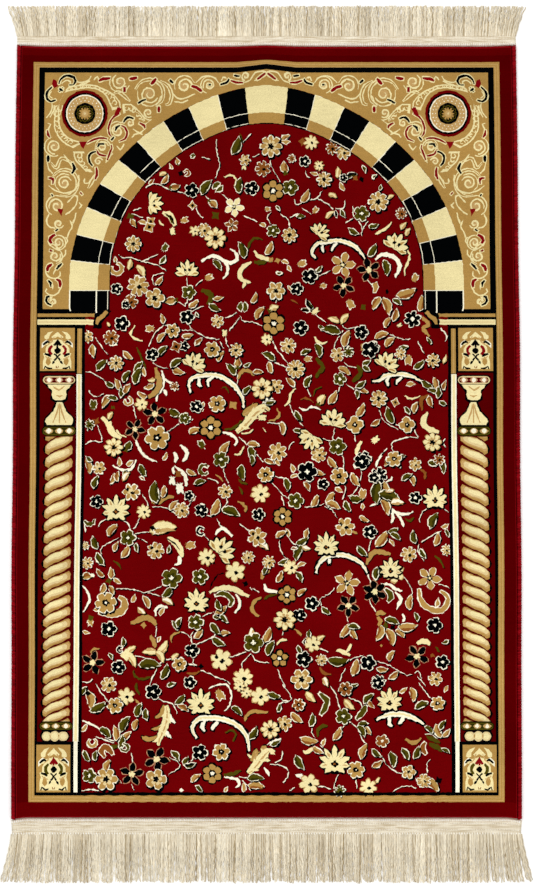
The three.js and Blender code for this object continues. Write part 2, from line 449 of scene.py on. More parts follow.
def acanthus(chart, strokes):
    """A broad plume of light and dark strokes with ragged tips."""
    for yarn, width, route in strokes:
        chart.lay("black", ribbon(route, width, (0.55, 0.3), grow=1.1))
    for yarn, width, route in strokes:
        chart.lay(yarn, ribbon(route, width, (0.55, 0.3)))
        if width > 7:
            chart.lay("sand", ribbon(route, width * 0.22, (0.3, 0.2), shift=(0.4, -1.4)))
            run = smooth(route, 7)
            for k, point in enumerate(run[1:-1]):
                way = math.degrees(math.atan2(*(run[k + 2] - run[k])[::-1]))
                barb = oval(width * 0.95, width * 0.4) + (width * 0.45, 0)
                chart.put(yarn, barb, *point, way + (52 if k % 2 else -52))


# The field's chart. Each mark has its middle across and along the mat and its size, in
# millimetres from the foot's middle, and then the way it points in degrees or its number of petals
MARKS = {
    leaf: {
        "tan": marks("""
-133,900,8,110 -141,882,15,55 -185,822,14,-60 -172,823,12,170 26,940,14,30 27,934,12,0 66,890,10,170
54,859,20,60 105,872,12,-60 -149,742,14,50 -101,710,16,40 -144,689,13,100 -146,664,16,50 -240,645,18,-85
-109,666,15,10 26,768,10,-20 32,759,10,-60 4,787,20,65 32,732,8,120 -17,718,15,65 -10,698,20,55
-67,718,13,10 167,685,16,60 214,711,22,80 110,662,24,70 159,667,20,20 170,658,18,45 152,711,20,-120
167,707,24,-72 194,725,28,20 -206,599,16,110 -222,575,20,-120 -192,639,16,-40 -169,616,12,-80
-122,617,18,-20 -162,596,14,200 -172,584,14,150 -88,568,12,80 -140,499,12,65 -99,535,18,15 -64,638,16,60
-18,516,16,-10 -58,510,22,60 5,622,16,-75 22,538,18,-80 108,618,18,-35 92,581,20,60 134,591,14,-30
199,599,12,10 205,567,16,70 130,563,20,60 233,600,18,100 -246,486,22,-70 -203,492,12,90 -188,490,12,40
-212,468,14,-110 -142,451,16,80 -104,477,14,-30 -101,441,10,45 -128,432,16,50 -212,398,20,50
-207,375,14,70 -193,368,20,60 15,492,12,-60 36,483,12,100 38,472,10,20 72,477,16,-20 67,438,18,65
88,440,22,70 -70,429,24,65 29,394,12,110 20,392,16,30 55,393,14,80 48,350,12,20 91,490,18,-50
124,485,8,-30 122,467,20,-60 100,453,12,-30 132,430,8,-80 92,432,20,-25 163,458,22,-45 164,430,24,-70
166,492,14,-110 180,490,16,-50 201,467,16,-70 134,413,14,-30 158,385,26,55 172,380,10,-60 234,385,18,75
246,403,12,20 -213,338,16,90 -204,327,12,-30 -224,316,16,-110 -212,314,14,-70 -232,288,10,200
-247,256,10,-10 -147,247,8,60 -143,285,12,60 -164,298,18,-65 -182,303,12,70 -93,254,16,50 -62,287,18,35
-57,255,14,10 1,252,22,65 48,312,14,40 107,258,20,60 119,254,16,-60 196,298,20,80 155,255,22,-110
170,250,24,-70 183,255,16,-40 193,264,26,5 121,208,24,75 170,224,16,60 234,297,12,80 -241,163,26,-80
-179,129,16,70 -206,117,20,100 -191,113,16,50 -249,124,12,50 -97,55,16,40 -218,72,18,70 41,138,20,-40
-14,44,22,-5 -31,42,12,90 -55,39,8,60 58,107,24,-10 70,93,16,-30 78,104,10,70 97,116,20,60 137,121,16,-40
132,92,22,70 187,176,12,30 200,170,20,-80 234,120,20,110 246,117,14,50 226,46,26,-40 246,178,10,60"""),
        "olive": marks("""
-42,929,26,68 -84,872,24,55 -38,874,22,85 16,842,8,-60 47,831,12,0 136,896,10,-70 150,886,8,45
158,871,8,80 106,835,12,-60 121,810,16,-30 149,818,14,15 -144,771,13,55 -96,695,8,-60 -68,764,18,-50
-34,785,24,110 18,753,8,0 73,758,12,45 -72,705,18,-30 77,677,12,150 89,674,26,170 147,784,20,60
166,760,22,-80 225,659,10,-60 189,649,14,20 181,713,14,-30 -228,626,20,45 -194,610,18,60 -177,623,18,60
-179,611,24,70 -144,646,18,45 -125,629,20,35 -246,496,12,150 -49,620,20,130 -27,626,10,30 -27,591,15,50
5,574,14,10 3,638,20,150 44,555,16,-55 57,603,18,65 54,644,14,25 72,646,20,-75 44,535,12,-10
-21,503,20,-80 138,628,14,40 138,621,12,-35 125,585,12,-80 130,599,16,35 211,626,18,40 170,556,24,110
194,563,12,130 187,500,10,0 -213,580,14,170 -217,599,14,150 -201,588,14,90 221,599,18,150 229,590,14,170
237,588,16,90 244,573,12,-20 -236,464,18,70 -196,477,8,60 -171,480,18,-60 -154,450,30,95 -92,464,16,15
-178,373,12,-80 -134,371,10,80 -236,380,18,110 -228,357,20,-60 -34,477,22,-80 -20,494,14,-90 28,460,18,-80
-49,423,26,-20 49,382,18,30 43,366,22,-110 23,354,14,30 -2,342,12,60 124,441,20,0 111,430,16,-60
152,449,32,-95 170,444,32,-20 193,471,16,30 232,491,18,0 243,485,18,-80 229,411,24,65 174,397,14,20
177,389,16,-35 131,368,18,-45 202,388,18,100 214,365,14,-60 249,393,12,-60 155,341,16,75 -213,223,10,-60
-196,243,12,90 -160,212,30,0 -139,202,22,70 -135,312,20,50 -125,266,14,120 -120,270,14,70 -130,184,12,20
-66,294,16,110 -58,275,14,-50 -68,277,10,-20 -70,261,20,-50 -66,243,20,-30 5,235,22,65 45,333,16,-60
81,286,14,-40 45,232,12,-60 58,254,12,90 120,264,16,-10 150,338,18,80 172,272,20,-20 205,278,12,110
98,217,28,0 245,243,10,200 -250,176,12,60 -230,153,24,30 -175,149,20,70 -165,142,16,-80 -118,163,18,45
-194,130,24,60 -220,118,20,-40 -198,105,18,80 -124,86,16,-50 -110,78,14,70 -246,85,16,-60 -234,86,14,80
-92,40,12,-50 10,169,18,-15 17,152,12,70 62,135,18,80 -40,148,18,-40 -18,117,20,60 12,103,14,30
45,76,22,-60 -15,55,22,0 120,183,10,10 132,130,14,10 130,120,18,-60 139,165,18,45 150,89,16,-40
172,80,22,-80 190,88,18,-60 205,90,18,70 222,122,14,-40 240,128,14,60 212,156,20,25 245,93,12,-30"""),
        "cream": marks("""
-144,890,10,20 99,892,14,85 172,858,10,30 88,834,14,40 92,860,12,-20 196,810,12,60 190,818,12,50
-190,765,14,80 -174,756,18,-58 -219,682,6,120 93,688,16,160 108,690,16,50 -159,605,10,190 -216,556,12,60
247,634,12,70 -142,400,38,10 -186,232,16,40 -184,218,20,-60 -160,229,18,180 -142,235,22,55 -145,223,18,-60
-125,223,12,40 74,248,12,40 60,167,18,-50 113,156,18,-45 152,52,8,60"""),
        "ivory": marks("""
-194,472,14,55 -4,376,16,-35 54,373,12,-15 170,452,10,10 180,436,18,0 -171,286,12,-40 -135,299,16,-30
-21,256,14,80 81,188,14,-70"""),
        "rust": marks("""
-160,879,9,40 -94,658,13,45 178,695,18,75 -193,593,16,60 -12,616,14,0 33,602,16,135 151,546,14,35
246,598,14,70 226,575,16,-70 -206,472,14,80 -171,469,8,-40 4,492,14,-20 56,458,14,-60 38,372,8,0
-228,338,14,130 18,333,16,65 158,205,16,0 174,197,16,40 -114,152,16,-30 -204,52,12,-30 151,74,16,30
143,156,12,-50"""),
        "black": marks("118,888,16,15 97,834,9,-80 59,709,16,120 54,701,12,170 -107,549,10,20 -104,73,16,15"),
    },
    bud: {
        "tan": marks("""
-124,907,9,100 25,899,16,100 -74,848,14,-40 -5,819,8,-30 -210,771,7,90 -133,714,15,190 -40,629,14,90"""),
        "rust": marks("-127,872,13,10 -246,334,14,10"),
        "cream": marks("10,704,13,30 76,578,15,60"),
        "olive": marks("-128,560,15,150 -191,514,14,60"),
    },
    sprig: {
        "olive": marks("-101,915,8,200 -142,786,13,60 -239,568,16,90 -89,514,14,110"),
        "cream": marks("""
-131,812,12,-80 -31,901,10,-100 -58,668,12,90 66,699,13,30 183,680,8,30 -8,553,14,0 149,521,14,40
48,477,12,90"""),
        "tan": marks("""
-116,825,12,20 67,838,11,60 0,841,9,0 -159,676,14,180 77,735,10,0 205,744,13,60 -82,746,13,20 47,765,14,20
115,712,16,-60 55,634,12,0 196,635,16,-90 -148,397,12,200 -107,376,16,10 132,445,16,80 -241,272,12,-90
-65,172,18,-60"""),
        "ivory": marks("-130,468,14,-90 -120,458,18,-80"),
    },
    ring: {
        "rust": marks("-111,891,6,200"),
        "tan": marks("-208,759,12,120 -191,576,8,120 -238,104,9,90"),
        "olive": marks("-86,481,10,0 -194,97,8,150"),
        "black": marks("-90,396,8,0 -200,232,6,0 55,243,6,0"),
    },
    spot: {
        "black": marks("-119,890,4 132,882,4 -156,400,4 -90,209,4 173,263,4 -244,171,4 235,52,5 -29,323,4"),
        "olive": marks("-189,831,5 -71,832,6 134,706,4 -212,567,3 -216,327,4 -241,276,4"),
        "rust": marks("50,934,5 123,884,4 -235,548,5 -122,475,5 227,224,3"),
        "ivory": marks("-210,656,4 -238,335,3 -116,38,3"),
        "tan": marks("6,771,4 15,770,4 135,650,6 -46,570,6 -168,266,4 157,238,2"),
        "cream": marks("-192,225,8"),
    },
    heart: {
        "olive": marks("-68,871,13,-140 -33,706,13,90"),
    },
    star: {
        "black": marks("""
107,735,16 142,757,17 -154,558,17 -182,537,15 -238,214,17 112,293,16 148,312,17,6 206,223,17 -150,81,18
-184,60,17"""),
        "tan": marks("106,764,18 110,324,18 223,331,17"),
        "rust": marks("-48,819,10"),
        "cream": marks("-45,844,14"),
    },
    bloom: {
        "tan": marks("""
-87,812,10 -30,909,8 107,919,10 -178,735,15 -248,665,9 30,652,11 -68,686,9 13,596,10 15,505,13 72,502,11
98,640,10 185,641,8 -231,483,9 -186,450,12,2 -117,425,11 -152,369,12,2 -249,376,6 -246,352,9 -57,451,10
-13,388,13,2 -25,360,9 3,353,9 -78,357,7 205,488,9 108,402,13,2 195,364,11 247,370,8 -216,184,11 75,218,8
231,192,10 24,130,11 215,51,10"""),
        "cream": marks("""
-100,811,7 62,933,10 73,901,7 0,661,8 -173,572,9 -169,423,10 -82,360,12 -9,448,13 33,346,10 -43,340,14
-62,218,15,2 -32,193,14 63,240,11 175,338,14 -192,168,12 -28,173,8 -37,182,8 -9,168,13 58,47,14 139,42,12"""),
        "rust": marks("-5,897,11 35,911,6 91,925,9 187,835,8 -188,713,10 -215,663,11 -127,596,6 238,495,8"),
        "olive": marks("-245,543,8 113,644,8 100,37,8"),
        "black": marks("202,689,12 155,473,12 153,188,10"),
    },
    posy: {
        "black": marks("""
-104,867,10 53,907,8 -21,870,10 107,884,6 -208,731,8 -195,709,6 -110,692,10 -200,683,10.5 -114,652,7
42,731,9 60,748,11 47,677,10.5 131,671,10 147,650,9 -158,640,9 -97,568,9 143,647,12 134,496,11 -234,437,9
-107,445,7 -90,425,9 56,478,14 78,461,8 -11,419,9 131,492,11 148,470,8 205,442,9 142,395,10 -216,261,11
-203,208,10 -102,231,10 -105,187,9 -155,174,11 45,280,9 51,219,11 62,296,10 230,266,11 241,215,10
139,214,11 -91,90,11 152,186,9"""),
        "olive": marks("""
33,871,11 9,811,9 132,835,11 -108,726,10 -113,552,8 -63,495,11 101,606,9 98,513,12 -190,387,11 40,438,11
-130,331,14 -91,333,11 -97,270,11 -18,242,14 -242,58,10 105,140,11"""),
        "rust": marks("158,106,9"),
    },
    discs: {
        "tan": marks("9,866,16 10,683,17 -77,539,17 22,416,14 18,220,13 28,308,14 -74,61,15"),
    },
    rose: {
        "tan": marks("""
-130,673,10 -75,647,11 -151,525,17 -68,572,12 194,543,11,4 122,543,12,4 176,496,11 -1,474,11 100,472,12
-220,297,15 -119,212,10 -207,155,11 -62,91,12 122,66,12 234,158,10"""),
        "rust": marks("44,156,9 108,178,10"),
    },
    daisy: {
        "tan": marks("""
6,928,16 80,882,11 155,851,14.5 32,805,11 -185,793,11.5 -155,718,14,5 13,728,13,6 -42,646,10 -208,628,10.5
40,620,13,10 230,632,10 155,579,12 48,191,15,6 -151,53,15,5 -219,53,16,6 194,63,10,5"""),
        "cream": marks("-71,801,15 -211,512,13 -6,593,15 229,519,13 25,274,15,8 5,122,13"),
    },
    lotus: {
        "cream": marks("""
-156,849,15,0 75,810,14,50 -110,757,16,90 181,793,18,60 -99,629,17,60 60,522,17,-120 167,629,17,60
92,550,18,80 -60,371,20,40"""),
    },
    sunburst: {
        "cream": marks("""
-207,428,20 82,378,18 232,443,18 170,345,16 -96,300,18 -90,160,20 93,80,22 168,163,18"""),
    },
    eye: {
        "tan": marks("-103,846,5 -161,824,6 -163,816,7 178,574,5"),
        "rust": marks("-125,651,7"),
    },
}

# Thin stems: a light line with a dark one under it
VINES = routes("""
-168,871 -157,876 -147,874 -135,868 -124,865 -114,863; -98,843 -94,834 -88,829; -185,839 -174,843;
-187,835 -172,829; -33,933 -21,946; -19,913 -10,917; 4,912 7,900 12,890 19,879; -62,862 -49,850;
-32,832 -13,824; 39,855 42,847 56,853 70,856 77,866; 70,856 83,849 93,841; 7,837 1,830 7,819;
19,835 30,826 32,814; 49,843 62,834; 33,829 45,836; -70,938 -69,920 -65,903 -69,890 -72,882;
-90,913 -83,911 -78,909; -85,859 -74,850; 95,842 107,842 109,852; 141,824 133,812 132,804;
120,845 121,832 131,820 133,808; 109,822 120,828; 54,895 55,888 60,884;
-206,778 -200,774 -188,774 -174,769 -168,771 -159,775 -151,778; -174,769 -156,765 -147,761 -139,756;
-156,736 -159,747 -151,751 -142,753; -127,716 -113,707; -111,746 -110,738 -108,733; -99,735 -89,743;
-108,718 -113,707; -103,700 -93,705 -87,707; -136,681 -143,680 -150,674 -156,667 -160,658 -163,651;
-108,683 -103,675 -93,669 -84,664 -66,661; -118,674 -103,674; -237,664 -225,647 -219,640; 72,748 89,756;
14,718 13,711; -41,698 -50,693 -58,691; -37,694 -32,686 -20,685 -6,680; -37,692 -45,681 -52,673;
-64,659 -60,649; -56,663 -55,655 -52,649; 68,695 79,687 83,684; 6,668 9,658 14,647 20,640 30,627;
136,749 146,736; 102,686 109,676 119,677 124,677; 106,673 96,659 93,649; 166,670 180,664 192,661 199,662;
209,659 215,647 218,641; -184,569 -180,551; -157,629 -148,623 -136,621; -139,532 -121,544;
-234,544 -227,520 -240,521 -252,516; -94,522 -85,509; -40,600 -40,615; -38,526 -24,513 -12,501 -5,492;
9,630 19,626 28,622; 32,572 37,558 43,550 52,540; 61,582 56,594 54,602; 1,546 13,545 21,544;
38,520 32,514 30,509; 69,525 79,523 90,520; 107,629 114,624 124,622; 110,599 121,592; 101,596 99,588;
154,569 160,552 169,543 182,537; 174,545 188,540; 121,530 123,519; 94,538 91,522;
209,525 196,526 182,522 173,518 175,504; 166,510 157,500 154,492; 203,538 209,526; 243,519 248,524;
243,519 247,512; -252,616 -244,616 -234,611 -223,604; -245,590 -241,584 -233,582 -225,586;
-112,428 -106,432 -103,440; -172,447 -166,440 -163,433 -162,428;
-157,429 -150,430 -142,429 -136,427 -130,423 -120,420 -108,419; -204,413 -196,410 -189,405 -187,396;
-212,413 -222,412 -229,407 -231,402; -183,399 -178,405 -175,413; -183,391 -172,394 -161,395;
-180,386 -172,385 -163,380; -202,387 -212,382 -222,377 -227,370 -226,360 -221,350;
-60,482 -57,472 -53,463; -82,469 -72,467 -66,462; 10,472 20,470 28,469;
7,463 15,455 20,449 26,444 31,441; 20,444 23,437 25,431; 53,429 62,430 72,431 79,434;
-82,418 -77,416 -72,417; -56,446 -54,437 -59,428 -62,424; -68,413 -64,405 -60,401;
-38,406 -30,401 -22,395; -86,390 -79,384 -71,380; 18,384 18,375 21,366 26,360 31,355;
30,387 35,380 40,377; 105,500 107,490 106,483; 129,484 131,473 128,464 125,455 118,447 112,444;
107,463 109,455 107,445 104,440; 80,430 90,425 97,415; 210,409 211,416 215,423 224,428 233,429;
236,429 244,427 252,422; 144,386 141,375 140,368; 212,380 222,387 232,393 240,396;
209,378 207,369 212,360 216,355; -181,224 -170,222 -160,218 -146,213;
-146,213 -139,218 -131,219 -122,220; -109,213 -101,211 -95,209; -101,222 -100,214 -96,210;
-152,250 -151,258 -151,266; -206,316 -190,316 -176,314 -168,311 -160,313 -152,316 -142,321;
-162,311 -152,308 -145,306; -96,290 -96,280; -117,257 -108,253 -104,248; -98,260 -103,252 -102,241;
-95,240 -85,244 -78,248; -252,188 -244,187 -238,191; -160,183 -157,192 -152,201 -150,207;
-22,318 -20,315; -20,317 -10,312; -88,278 -80,282 -72,284; -76,248 -70,254 -65,262;
-90,241 -82,246 -76,248; -28,229 -40,225 -50,222; -21,227 -30,218 -34,212 -33,205;
-20,227 -16,218 -6,215 4,214; 16,205 18,196 22,188 26,180; 70,234 78,232 84,229; 90,312 82,307 74,303;
73,303 75,293; -90,204 -78,199 -66,193 -54,189 -50,184; 80,307 87,310 93,318; 109,278 112,270;
140,303 144,293 150,285; 187,334 194,325 199,314 199,305; 236,323 246,320 252,316;
112,216 118,220 126,223 132,224; 108,207 103,198 100,188;
150,216 162,213 172,208 182,202 192,197 200,198; 203,200 208,203 212,192; 206,195 213,188 217,182;
-234,186 -228,176 -222,168 -217,160; -149,165 -140,161 -130,158 -124,150 -122,143;
-185,90 -183,80 -184,70; -253,37 -240,39 -229,37; -184,46 -181,38;
-133,83 -122,78 -118,70 -126,64 -134,60; -103,78 -98,86; 22,184 28,176 33,168 33,162 25,162 17,165;
30,160 20,159 15,152; 63,128 62,118 66,110; 5,74 15,73 25,70 30,64 28,56 23,48; -38,57 -25,55 -10,60;
-33,52 -26,44 -21,37; 72,101 80,94; 31,37 38,42; 70,43 78,43 88,39; 98,60 94,50 91,40;
88,182 95,170 98,158 101,150; 113,166 122,162 129,158 131,150; 107,130 103,122;
113,133 119,128 125,124 128,115 131,108 136,102; 176,147 174,152; 158,85 162,76 170,68 180,62 188,63;
173,36 182,42 195,44 204,41; 203,56 207,48 210,42; 224,81 219,74 220,62; 208,186 215,178 222,168 226,162;
-234,112 -222,108 -208,103; -220,110 -208,106; 122,66 122,52 124,40; 217,116 226,115 234,108;
23,262 22,252; 136,342 141,330 144,322; 12,76 20,81 22,92; 38,365 40,357""")

# Broader strokes of yarn: the width, then the points; a dark shadow lies beside each
STROKES = {
    "ivory": routes("""
3 -183,750 -173,744; 3 241,676 251,665 247,658;
6 151,771 160,778 172,777 181,771 185,762 183,755 178,747;
5 -90,769 -80,775 -72,776 -63,772 -55,767 -48,767 -41,771 -41,776 -44,782 -51,786;
4 -61,770 -54,762 -54,755 -57,748 -61,745; 4 -145,618 -142,606 -144,594 -151,585 -152,575;
4 -142,607 -135,602 -130,600; 4 -142,592 -138,584; 3.5 -182,527 -177,513 -170,502 -160,495 -151,492;
5 -128,505 -124,497 -127,491; 5 -119,515 -111,508 -110,500 -116,492; 3 -6,573 2,579 10,579;
3.5 -62,533 -50,530 -41,522 -44,514; 3 45,567 54,563 62,568 75,564;
3 -212,487 -203,482 -195,480 -187,482 -183,487 -180,495; 4 -129,485 -128,475;
5 -127,486 -117,478 -111,470 -111,458; 5 -120,362 -119,352 -126,349; 3 -251,405 -249,394;
5 -70,391 -66,397 -60,400 -54,396 -47,389; 3 159,500 153,492 151,484; 3 165,464 172,467 173,471;
3 157,447 156,437 150,433 142,431; 4 163,438 168,430 174,424 184,420 195,420 202,423;
4 172,424 174,415 171,407; 4 178,420 185,412 188,402; 3 -253,321 -245,312 -242,302 -246,292 -252,284;
3 -178,268 -172,274 -165,276; 4 -151,279 -152,286 -148,292 -140,292 -135,290;
4 -42,309 -37,300 -37,292 -43,283; 5 -3,323 0,315 8,313 16,311; 4 157,323 168,322 177,316 186,313;
5 176,312 184,303 181,295 178,288; 3 186,281 189,275 186,270; 3 -252,134 -243,131 -233,126 -226,121;
2.4 -80,178 -70,183 -55,184 -49,175 -48,165 -52,153 -58,147; 3 1,100 8,106 20,109; 3.5 -3,70 1,64 4,58;
4 -58,57 -48,55 -40,53 -37,47 -42,42; 5 40,58 46,58 50,52"""),
    "cream": routes("""
3 -60,885 -49,888 -42,881 -45,873; 4 174,823 167,815 151,806; 9 -144,836 -134,832 -127,818;
2.4 -150,826 -147,821 -143,819; 3 -182,680 -188,670 -185,664 -178,660 -171,659;
6 -17,783 -11,776 -3,773 8,769; 6 -21,768 -31,762 -37,754 -36,746 -29,740 -22,740; 4 -29,740 -33,732;
4 67,665 69,659 77,655 84,658; 3 195,785 199,778 196,766 192,759 192,749;
8 -227,554 -218,544 -213,532 -201,524; 2.5 -207,536 -203,530 -194,526; 2.5 -35,531 -25,532 -17,537;
2.5 -5,539 -1,533; 3 -44,502 -37,503 -31,514; 3 40,593 34,587 31,575 25,569;
2.5 191,584 198,579 208,581 212,584; 8 223,560 217,552 217,544 224,537 238,533;
5 131,521 125,509 124,500; 9 -136,387 -125,380 -118,370 -115,360;
7 -78,311 -68,316 -55,318 -42,315 -32,309 -24,306; 4 14,239 19,245 28,246;
7 206,240 212,244 220,243 223,238; 6 96,232 106,229 114,224; 4 110,229 116,240; 5 50,93 55,90 62,95 70,97"""),
    "tan": routes("""
8 -153,622 -150,610 -148,598 -157,585 -165,581; 5 -39,606 -35,616 -26,618 -17,611;
3 14,566 18,558 13,551 3,548; 6 -158,436 -148,436 -138,443 -128,443; 2 -71,474 -63,469 -60,465;
4 -40,437 -33,434 -28,427 -30,422; 3 115,398 125,392; 7 137,350 141,360 148,367 158,367 170,364;
3 -241,227 -237,233 -229,233; 6 -152,235 -155,245 -159,252;
8 -151,266 -156,273 -165,277 -174,274 -182,270 -186,269; 3 -117,257 -128,253 -131,247 -130,242;
3 36,262 42,258 48,252; 5 -7,305 -16,299 -20,290 -17,282 -10,278; 6 4,341 -4,338 -7,330;
6 150,280 156,284 163,281; 6 152,278 156,271 152,266; 3 -180,163 -172,156;
5 -30,134 -26,142 -18,147 -8,146 2,146; 5 190,109 197,104 204,104 211,110;
6 215,692 224,682 217,676 225,665"""),
    "olive": routes("""
2 -37,946 -33,933; 3 -27,783 -22,796 -15,801 -6,799; 6 -17,768 -11,767 0,768;
8 -90,729 -80,725 -76,719 -82,710; 3 -179,650 -172,633 -166,620; 2 -64,593 -57,595 -52,587;
2 64,582 68,592 76,595; 4 -58,536 -44,539 -34,549; 6 68,635 75,628 78,621 72,615 68,608;
6 125,626 130,617 127,610 119,602; 2.5 -210,355 -203,350 -199,343; 3 -38,468 -34,463 -26,461;
3 -38,458 -35,452 -33,446; 3 190,414 196,410 203,415; 3 230,362 238,355 243,345;
3.5 -182,204 -181,198 -175,192 -166,192 -158,195; 4 -3,302 4,307 14,309; 5 163,272 163,258;
3 231,236 237,229; 3.5 -178,186 -178,178 -173,170; 5 -218,98 -208,98 -200,100;
3 -56,117 -48,121 -42,115 -46,106; 5 70,112 70,120 75,126 84,127; 5 -58,59 -45,61 -35,66;
6 218,113 228,108 237,104; 7 222,102 232,98 240,92; 4 -140,833 -134,830 -130,821"""),
    "rust": routes("""
2.5 46,577 54,580 65,574; 4 212,482 219,476 218,468; 3 -109,200 -98,199 -89,203; 4 73,208 78,200 88,198;
5 224,584 214,578 215,563; 2 33,716 45,710"""),
    "black": routes("""
2 -78,312 -74,325 -66,336 -58,338; 2 -240,80 -240,72; 2 156,98 158,90; 2.2 -137,386 -126,379 -118,368;
2 -142,835 -134,831 -128,820; 5 167,730 167,724"""),
}
# Strokes with a light rim all round
RIMMED = {
    "olive": routes("""
5 -252,410 -246,406 -238,407 -237,412; 7 72,172 82,163 80,152 74,142;
6 -70,307 -60,310 -52,306 -47,300 -51,292; 7 163,316 169,310 170,304 166,299;
7 136,155 132,147 126,140 123,136"""),
    "tan": routes("""
9 -229,284 -215,282 -203,283 -195,290 -195,300 -202,305;
7 209,316 210,304 216,294 228,287 240,287 248,296 248,306 238,313; 6 147,736 152,737 150,726"""),
    "rust": routes("7 -221,84 -226,92 -220,98 -213,92 -210,87; 6 218,88 213,96 217,104"),
}
# The light plumes with a dark edge: the width, the route and its hooks
FRONDS = [
    routes("""
5.5 69,773 63,779 65,786 72,794 80,795 93,797 103,797 114,794 124,788 131,781 136,774 138,768;
78,791 77,785 80,781; 98,794 93,789 90,783"""),
    routes("""
6 -104,587 -107,594 -106,603 -99,609 -89,611 -77,612 -65,610 -53,604 -44,596 -36,586 -32,575 -32,566;
-92,607 -94,600 -90,595; -74,609 -81,603 -80,596"""),
    routes("""
6 146,603 155,604 163,610 172,612 184,613 196,611 205,608 213,603; 169,609 166,603 169,596;
187,609 181,604 179,599"""),
    routes("""
6 68,338 70,348 76,356 84,361 95,363 105,363 115,360 125,355 133,348 138,338; 86,358 86,350"""),
    routes("""
7 -95,110 -101,120 -99,130 -90,137 -78,138 -65,137 -50,133 -38,126 -29,116 -25,105 -24,92;
-84,135 -88,125 -84,119; -66,133 -72,127 -74,121"""),
    routes("""
7 150,135 160,140 172,143 185,143 198,139 208,134 215,129; 168,140 168,130 172,126;
188,139 184,134 181,129"""),
]
# The three broad plumes of light and dark yarn
PLUMES = [
    [("tan", 8, marks("-33,556 -26,562 -12,572")),
     ("cream", 11, marks("-41,533 -27,546 -17,558 -3,568 4,563"))],
    [("tan", 6, marks("-140,155 -142,148 -145,142 -152,138")),
     ("tan", 5, marks("-143,128 -150,123 -157,122")), ("tan", 6, marks("-150,112 -160,108 -171,112")),
     ("ivory", 5, marks("-134,145 -130,135 -125,131")), ("ivory", 5, marks("-138,120 -133,113 -130,110")),
     ("cream", 10, marks("-137,155 -136,145 -138,130 -142,120 -147,108 -147,100"))],
    [("tan", 8, marks("-20,78 -15,88 -15,95")), ("tan", 8, marks("-5,90 -2,100")),
     ("cream", 4, marks("-2,80 5,79")), ("cream", 3, marks("-26,88 -20,82")),
     ("cream", 11, marks("-25,62 -15,72 -5,85 3,93 11,91"))],
]


def draw_field(chart):
    """The stems, plumes, leaves and flowers scattered over the red field."""
    for route in VINES:
        chart.vine(route)
    for yarn, strokes in STROKES.items():
        for (width,), *route in strokes:
            chart.stroke(yarn, width, route, shadow=yarn != "black")
    for yarn, strokes in RIMMED.items():
        for (width,), *route in strokes:
            chart.stroke(yarn, width, route, rim="ivory")
    for ((width,), *route), *hooks in FRONDS:
        frond(chart, route, width, hooks)
    for strokes in PLUMES:
        acanthus(chart, strokes)
    for draw, table in MARKS.items():
        for yarn, rows in table.items():
            for mark in rows:
                draw(chart, yarn, *mark)


# The border, the arch and the columns, which mirror about the middle of the mat
ARCH_CENTRE = 740.6
ARCH_OUTER = 273.2
ARCH_INNER = 217.9
ARCH_LINE = 216.5
BAND_SPLIT = 233.6
COLUMN = -291.0
# The arch's joints in degrees from the top, and how far its two edges stray from round
JOINTS = (6.4, 14.8, 24.2, 32.9, 42.8, 50.7, 59.6, 67.6, 76.1, 83.8, 92.7)
STRAY_ANGLES = (0, 7, 15, 25, 41, 51, 60, 68, 84, 90)
OUTER_STRAY = (-2.2, -3.7, -6.2, -9.2, -9.4, -7.5, -4.9, -3.2, 0.3, 0)
INNER_STRAY = (1.7, 1.1, -0.9, -3.4, -3.3, -1.1, 0.6, 0.6, 0.2, 0)


def arch_point(radius, angle):
    """A point of the left half of the arch, its angle in degrees from the top."""
    share = (radius - ARCH_INNER) / (ARCH_OUTER - ARCH_INNER)
    radius += share * np.interp(angle, STRAY_ANGLES, OUTER_STRAY)
    radius += (1 - share) * np.interp(angle, STRAY_ANGLES, INNER_STRAY)
    if angle > 90:
        return (-radius, ARCH_CENTRE - (angle - 90) * 4.6)
    turn = math.radians(angle)
    return (-radius * math.sin(turn), ARCH_CENTRE + radius * math.cos(turn))


def arch_block(inner, outer, start, end):
    """Outline of a block of the arch between two radii and two angles."""
    count = max(2, int((end - start) / 1.8))
    angles = [start + (end - start) * k / count for k in range(count + 1)]
    return [arch_point(outer, a) for a in angles] + [arch_point(inner, a) for a in reversed(angles)]


def draw_border(chart):
    """The plain red border, its tan and black lines, and the red field inside them."""
    chart.box("hem", -346, -6, 346, 1074, 12)
    chart.box("border", -342, 22, 342, 1053, 12)
    chart.box("tan", -326, 21.2, 326, 1043.6, 5)
    for inset in (2.2, 5.6):
        chart.box("sand", -326 + inset, 21.2 + inset, 326 - inset, 1043.6 - inset, 5)
        chart.box("tan", -325.1 + inset, 22.1 + inset, 325.1 - inset, 1042.7 - inset, 5)
    chart.box("black", -318, 30.2, 318, 1036.5, 5)
    chart.box("field", -252.5, 35.1, 252.5, 1012, 6)


